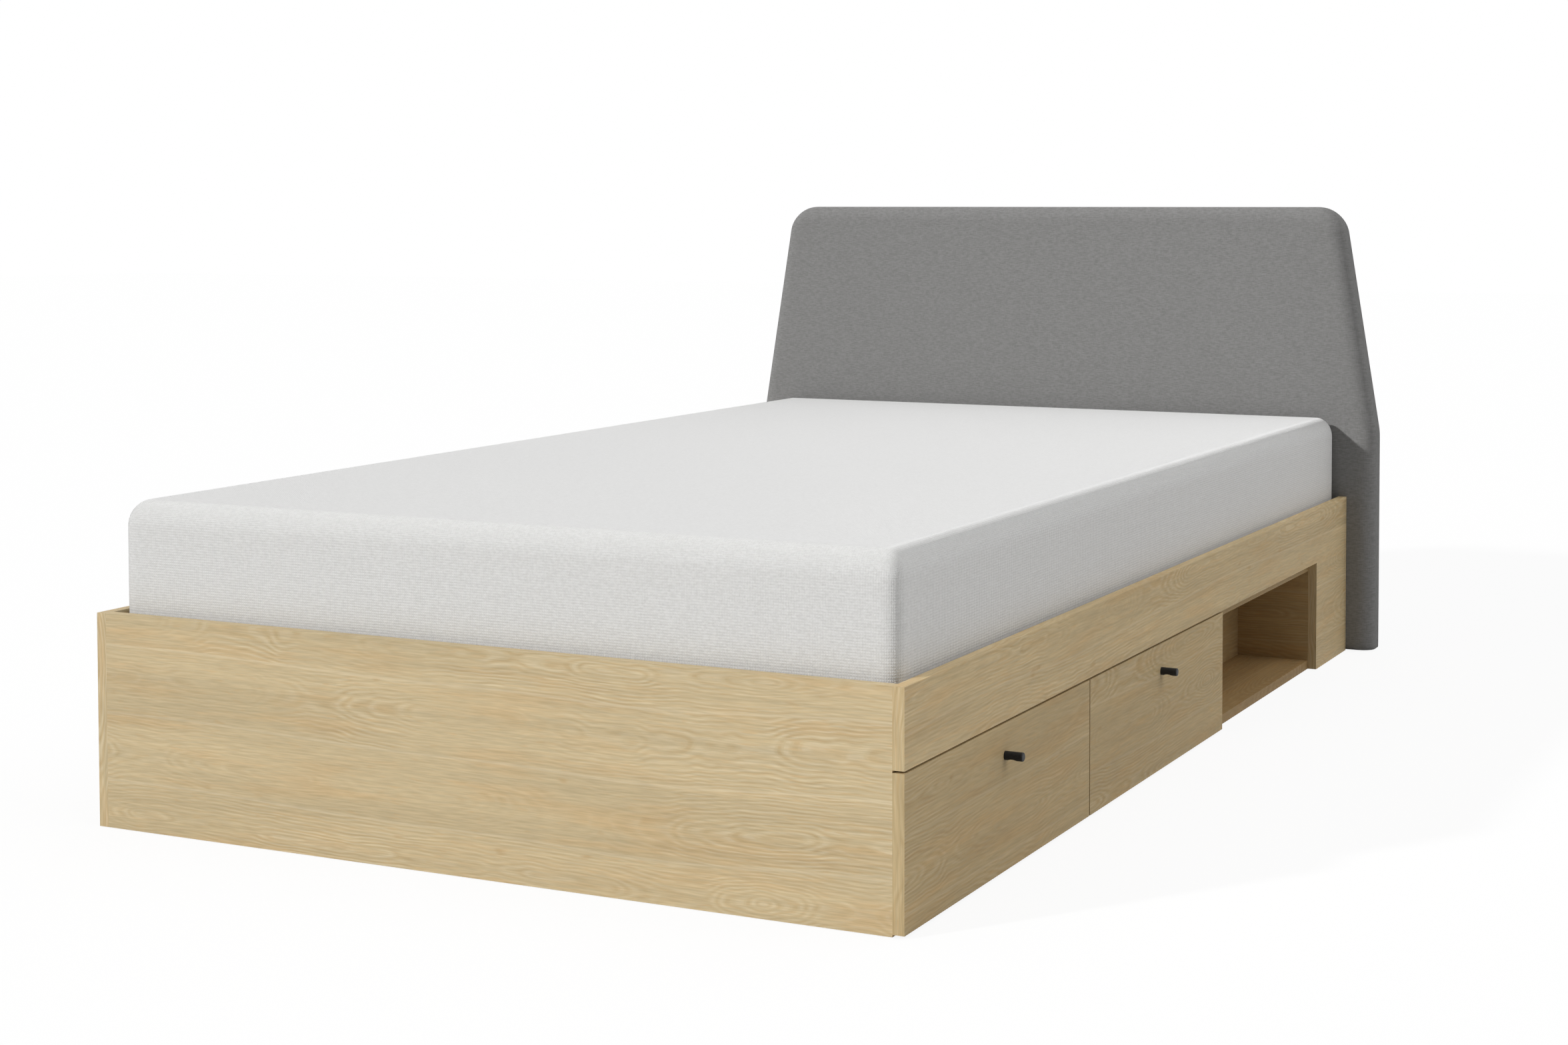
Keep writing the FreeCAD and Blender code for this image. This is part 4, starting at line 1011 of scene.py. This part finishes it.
lining = soft_piece("headboard_back_lining", [lining_grid], lining_cloth)
thicker = lining.modifiers.new("thickness", "SOLIDIFY")
thicker.thickness = LINING_THICK
thicker.offset = -1
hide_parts("headboard_lining")
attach(lining, "bed")

# %% [markdown]
# ## The staples
# A staple is a flat wire with two bent legs that are driven through the lining. One could be modelled and
# copied by an array along a curve, but numpy makes them all at once: the wire's bend and its section
# are added to each spot along the edge, and the wire points along the edge there.

# %% Staples
WIRE_WIDE = 0.0008
WIRE_THICK = 0.0005
STAPLE_UP = 0.0014
LOOK_AHEAD = 0.004
# Half of the wire's bend, from the back of the staple to the tip of a leg: along the edge, and up from it.
HALF_BEND = np.array([[0.0042, 0.0005], [0.0048, 0.0002], [0.0052, -0.0012]])

way = rim_of(np.stack(inset_grid(STAPLE_IN), -1))
gone = lengths_along(way)
count = int(gone[-1] / STAPLE_STEP)
stops = (np.arange(count) + 0.5) * gone[-1] / count


def on_way(distance):
    """Points on the line of the staples at distances along it."""
    return np.stack([np.interp(distance, gone, way[:, 0]), np.interp(distance, gone, way[:, 1])], -1)


spot = on_way(stops)
ahead = on_way(stops + LOOK_AHEAD) - spot
ahead /= np.linalg.norm(ahead, axis=1, keepdims=True)
aside = np.stack([-ahead[:, 1], ahead[:, 0]], -1)
bend = np.concatenate([HALF_BEND[::-1] * (-1, 1), HALF_BEND])
section = RECTANGLE * (WIRE_WIDE, WIRE_THICK)
along_wire = bend[:, 0][None, :, None, None]
over_wire = section[:, 0][None, None, :, None]
up_wire = bend[:, 1][None, :, None] + section[:, 1][None, None, :]
staple_xz = spot[:, None, None] + ahead[:, None, None] * along_wire + aside[:, None, None] * over_wire
staple_y = np.broadcast_to(pad_high[Y] + STAPLE_UP + up_wire, staple_xz.shape[:3])
staple_points = np.stack([staple_xz[..., 0], staple_y, staple_xz[..., 1] + pad_low[Z]], -1)
staple_cloth = np.zeros(staple_points.shape[1:3] + (2,))
staple_grids = [grid for one in staple_points for grid in closed_strip(one, staple_cloth, True)]
staples = soft_piece("lining_staples", staple_grids, bpy.data.materials["zinc_steel"])
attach(staples, "bed")
print("staples:", count)

# %% [markdown]
# ## Tapes under the slats
# Two woven tapes hold the slats at their spacing. A tape is a flat strip that sags a little between the
# slats. A box would be straight, so its path is a row of shallow arcs, and its section is a thin rectangle
# carried along that path.

# %% Slat tapes
TAPE_WIDE = 0.030
TAPE_SAG = 0.0015
SLATS = 14
STEPS_PER_SLAT = 8

tape_low, tape_high = box_of("slat_webbing")
reach = np.linspace(tape_low[Y], tape_high[Y], SLATS * STEPS_PER_SLAT + 1)
sag = TAPE_SAG * np.sin(np.linspace(0, math.pi * (SLATS - 1), len(reach))) ** 2
section = RECTANGLE * (TAPE_WIDE, tape_high[Z] - tape_low[Z])
tape_grids = []
for middle_x in (tape_low[X] + TAPE_WIDE / 2, tape_high[X] - TAPE_WIDE / 2):
    tape = np.empty((len(reach), len(section), 3))
    tape[..., X] = middle_x + section[None, :, 0]
    tape[..., Y] = reach[:, None]
    tape[..., Z] = tape_low[Z] + section[None, :, 1] - sag[:, None]
    tape_cloth_map = np.stack([tape[..., X] - middle_x, tape[..., Y]], -1)
    tape_grids += closed_strip(tape, tape_cloth_map, True)
tapes = soft_piece("slat_tapes", tape_grids, tape_cloth)
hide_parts("slat_webbing")
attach(tapes, "bed")
print("tape points:", len(tapes.data.vertices))
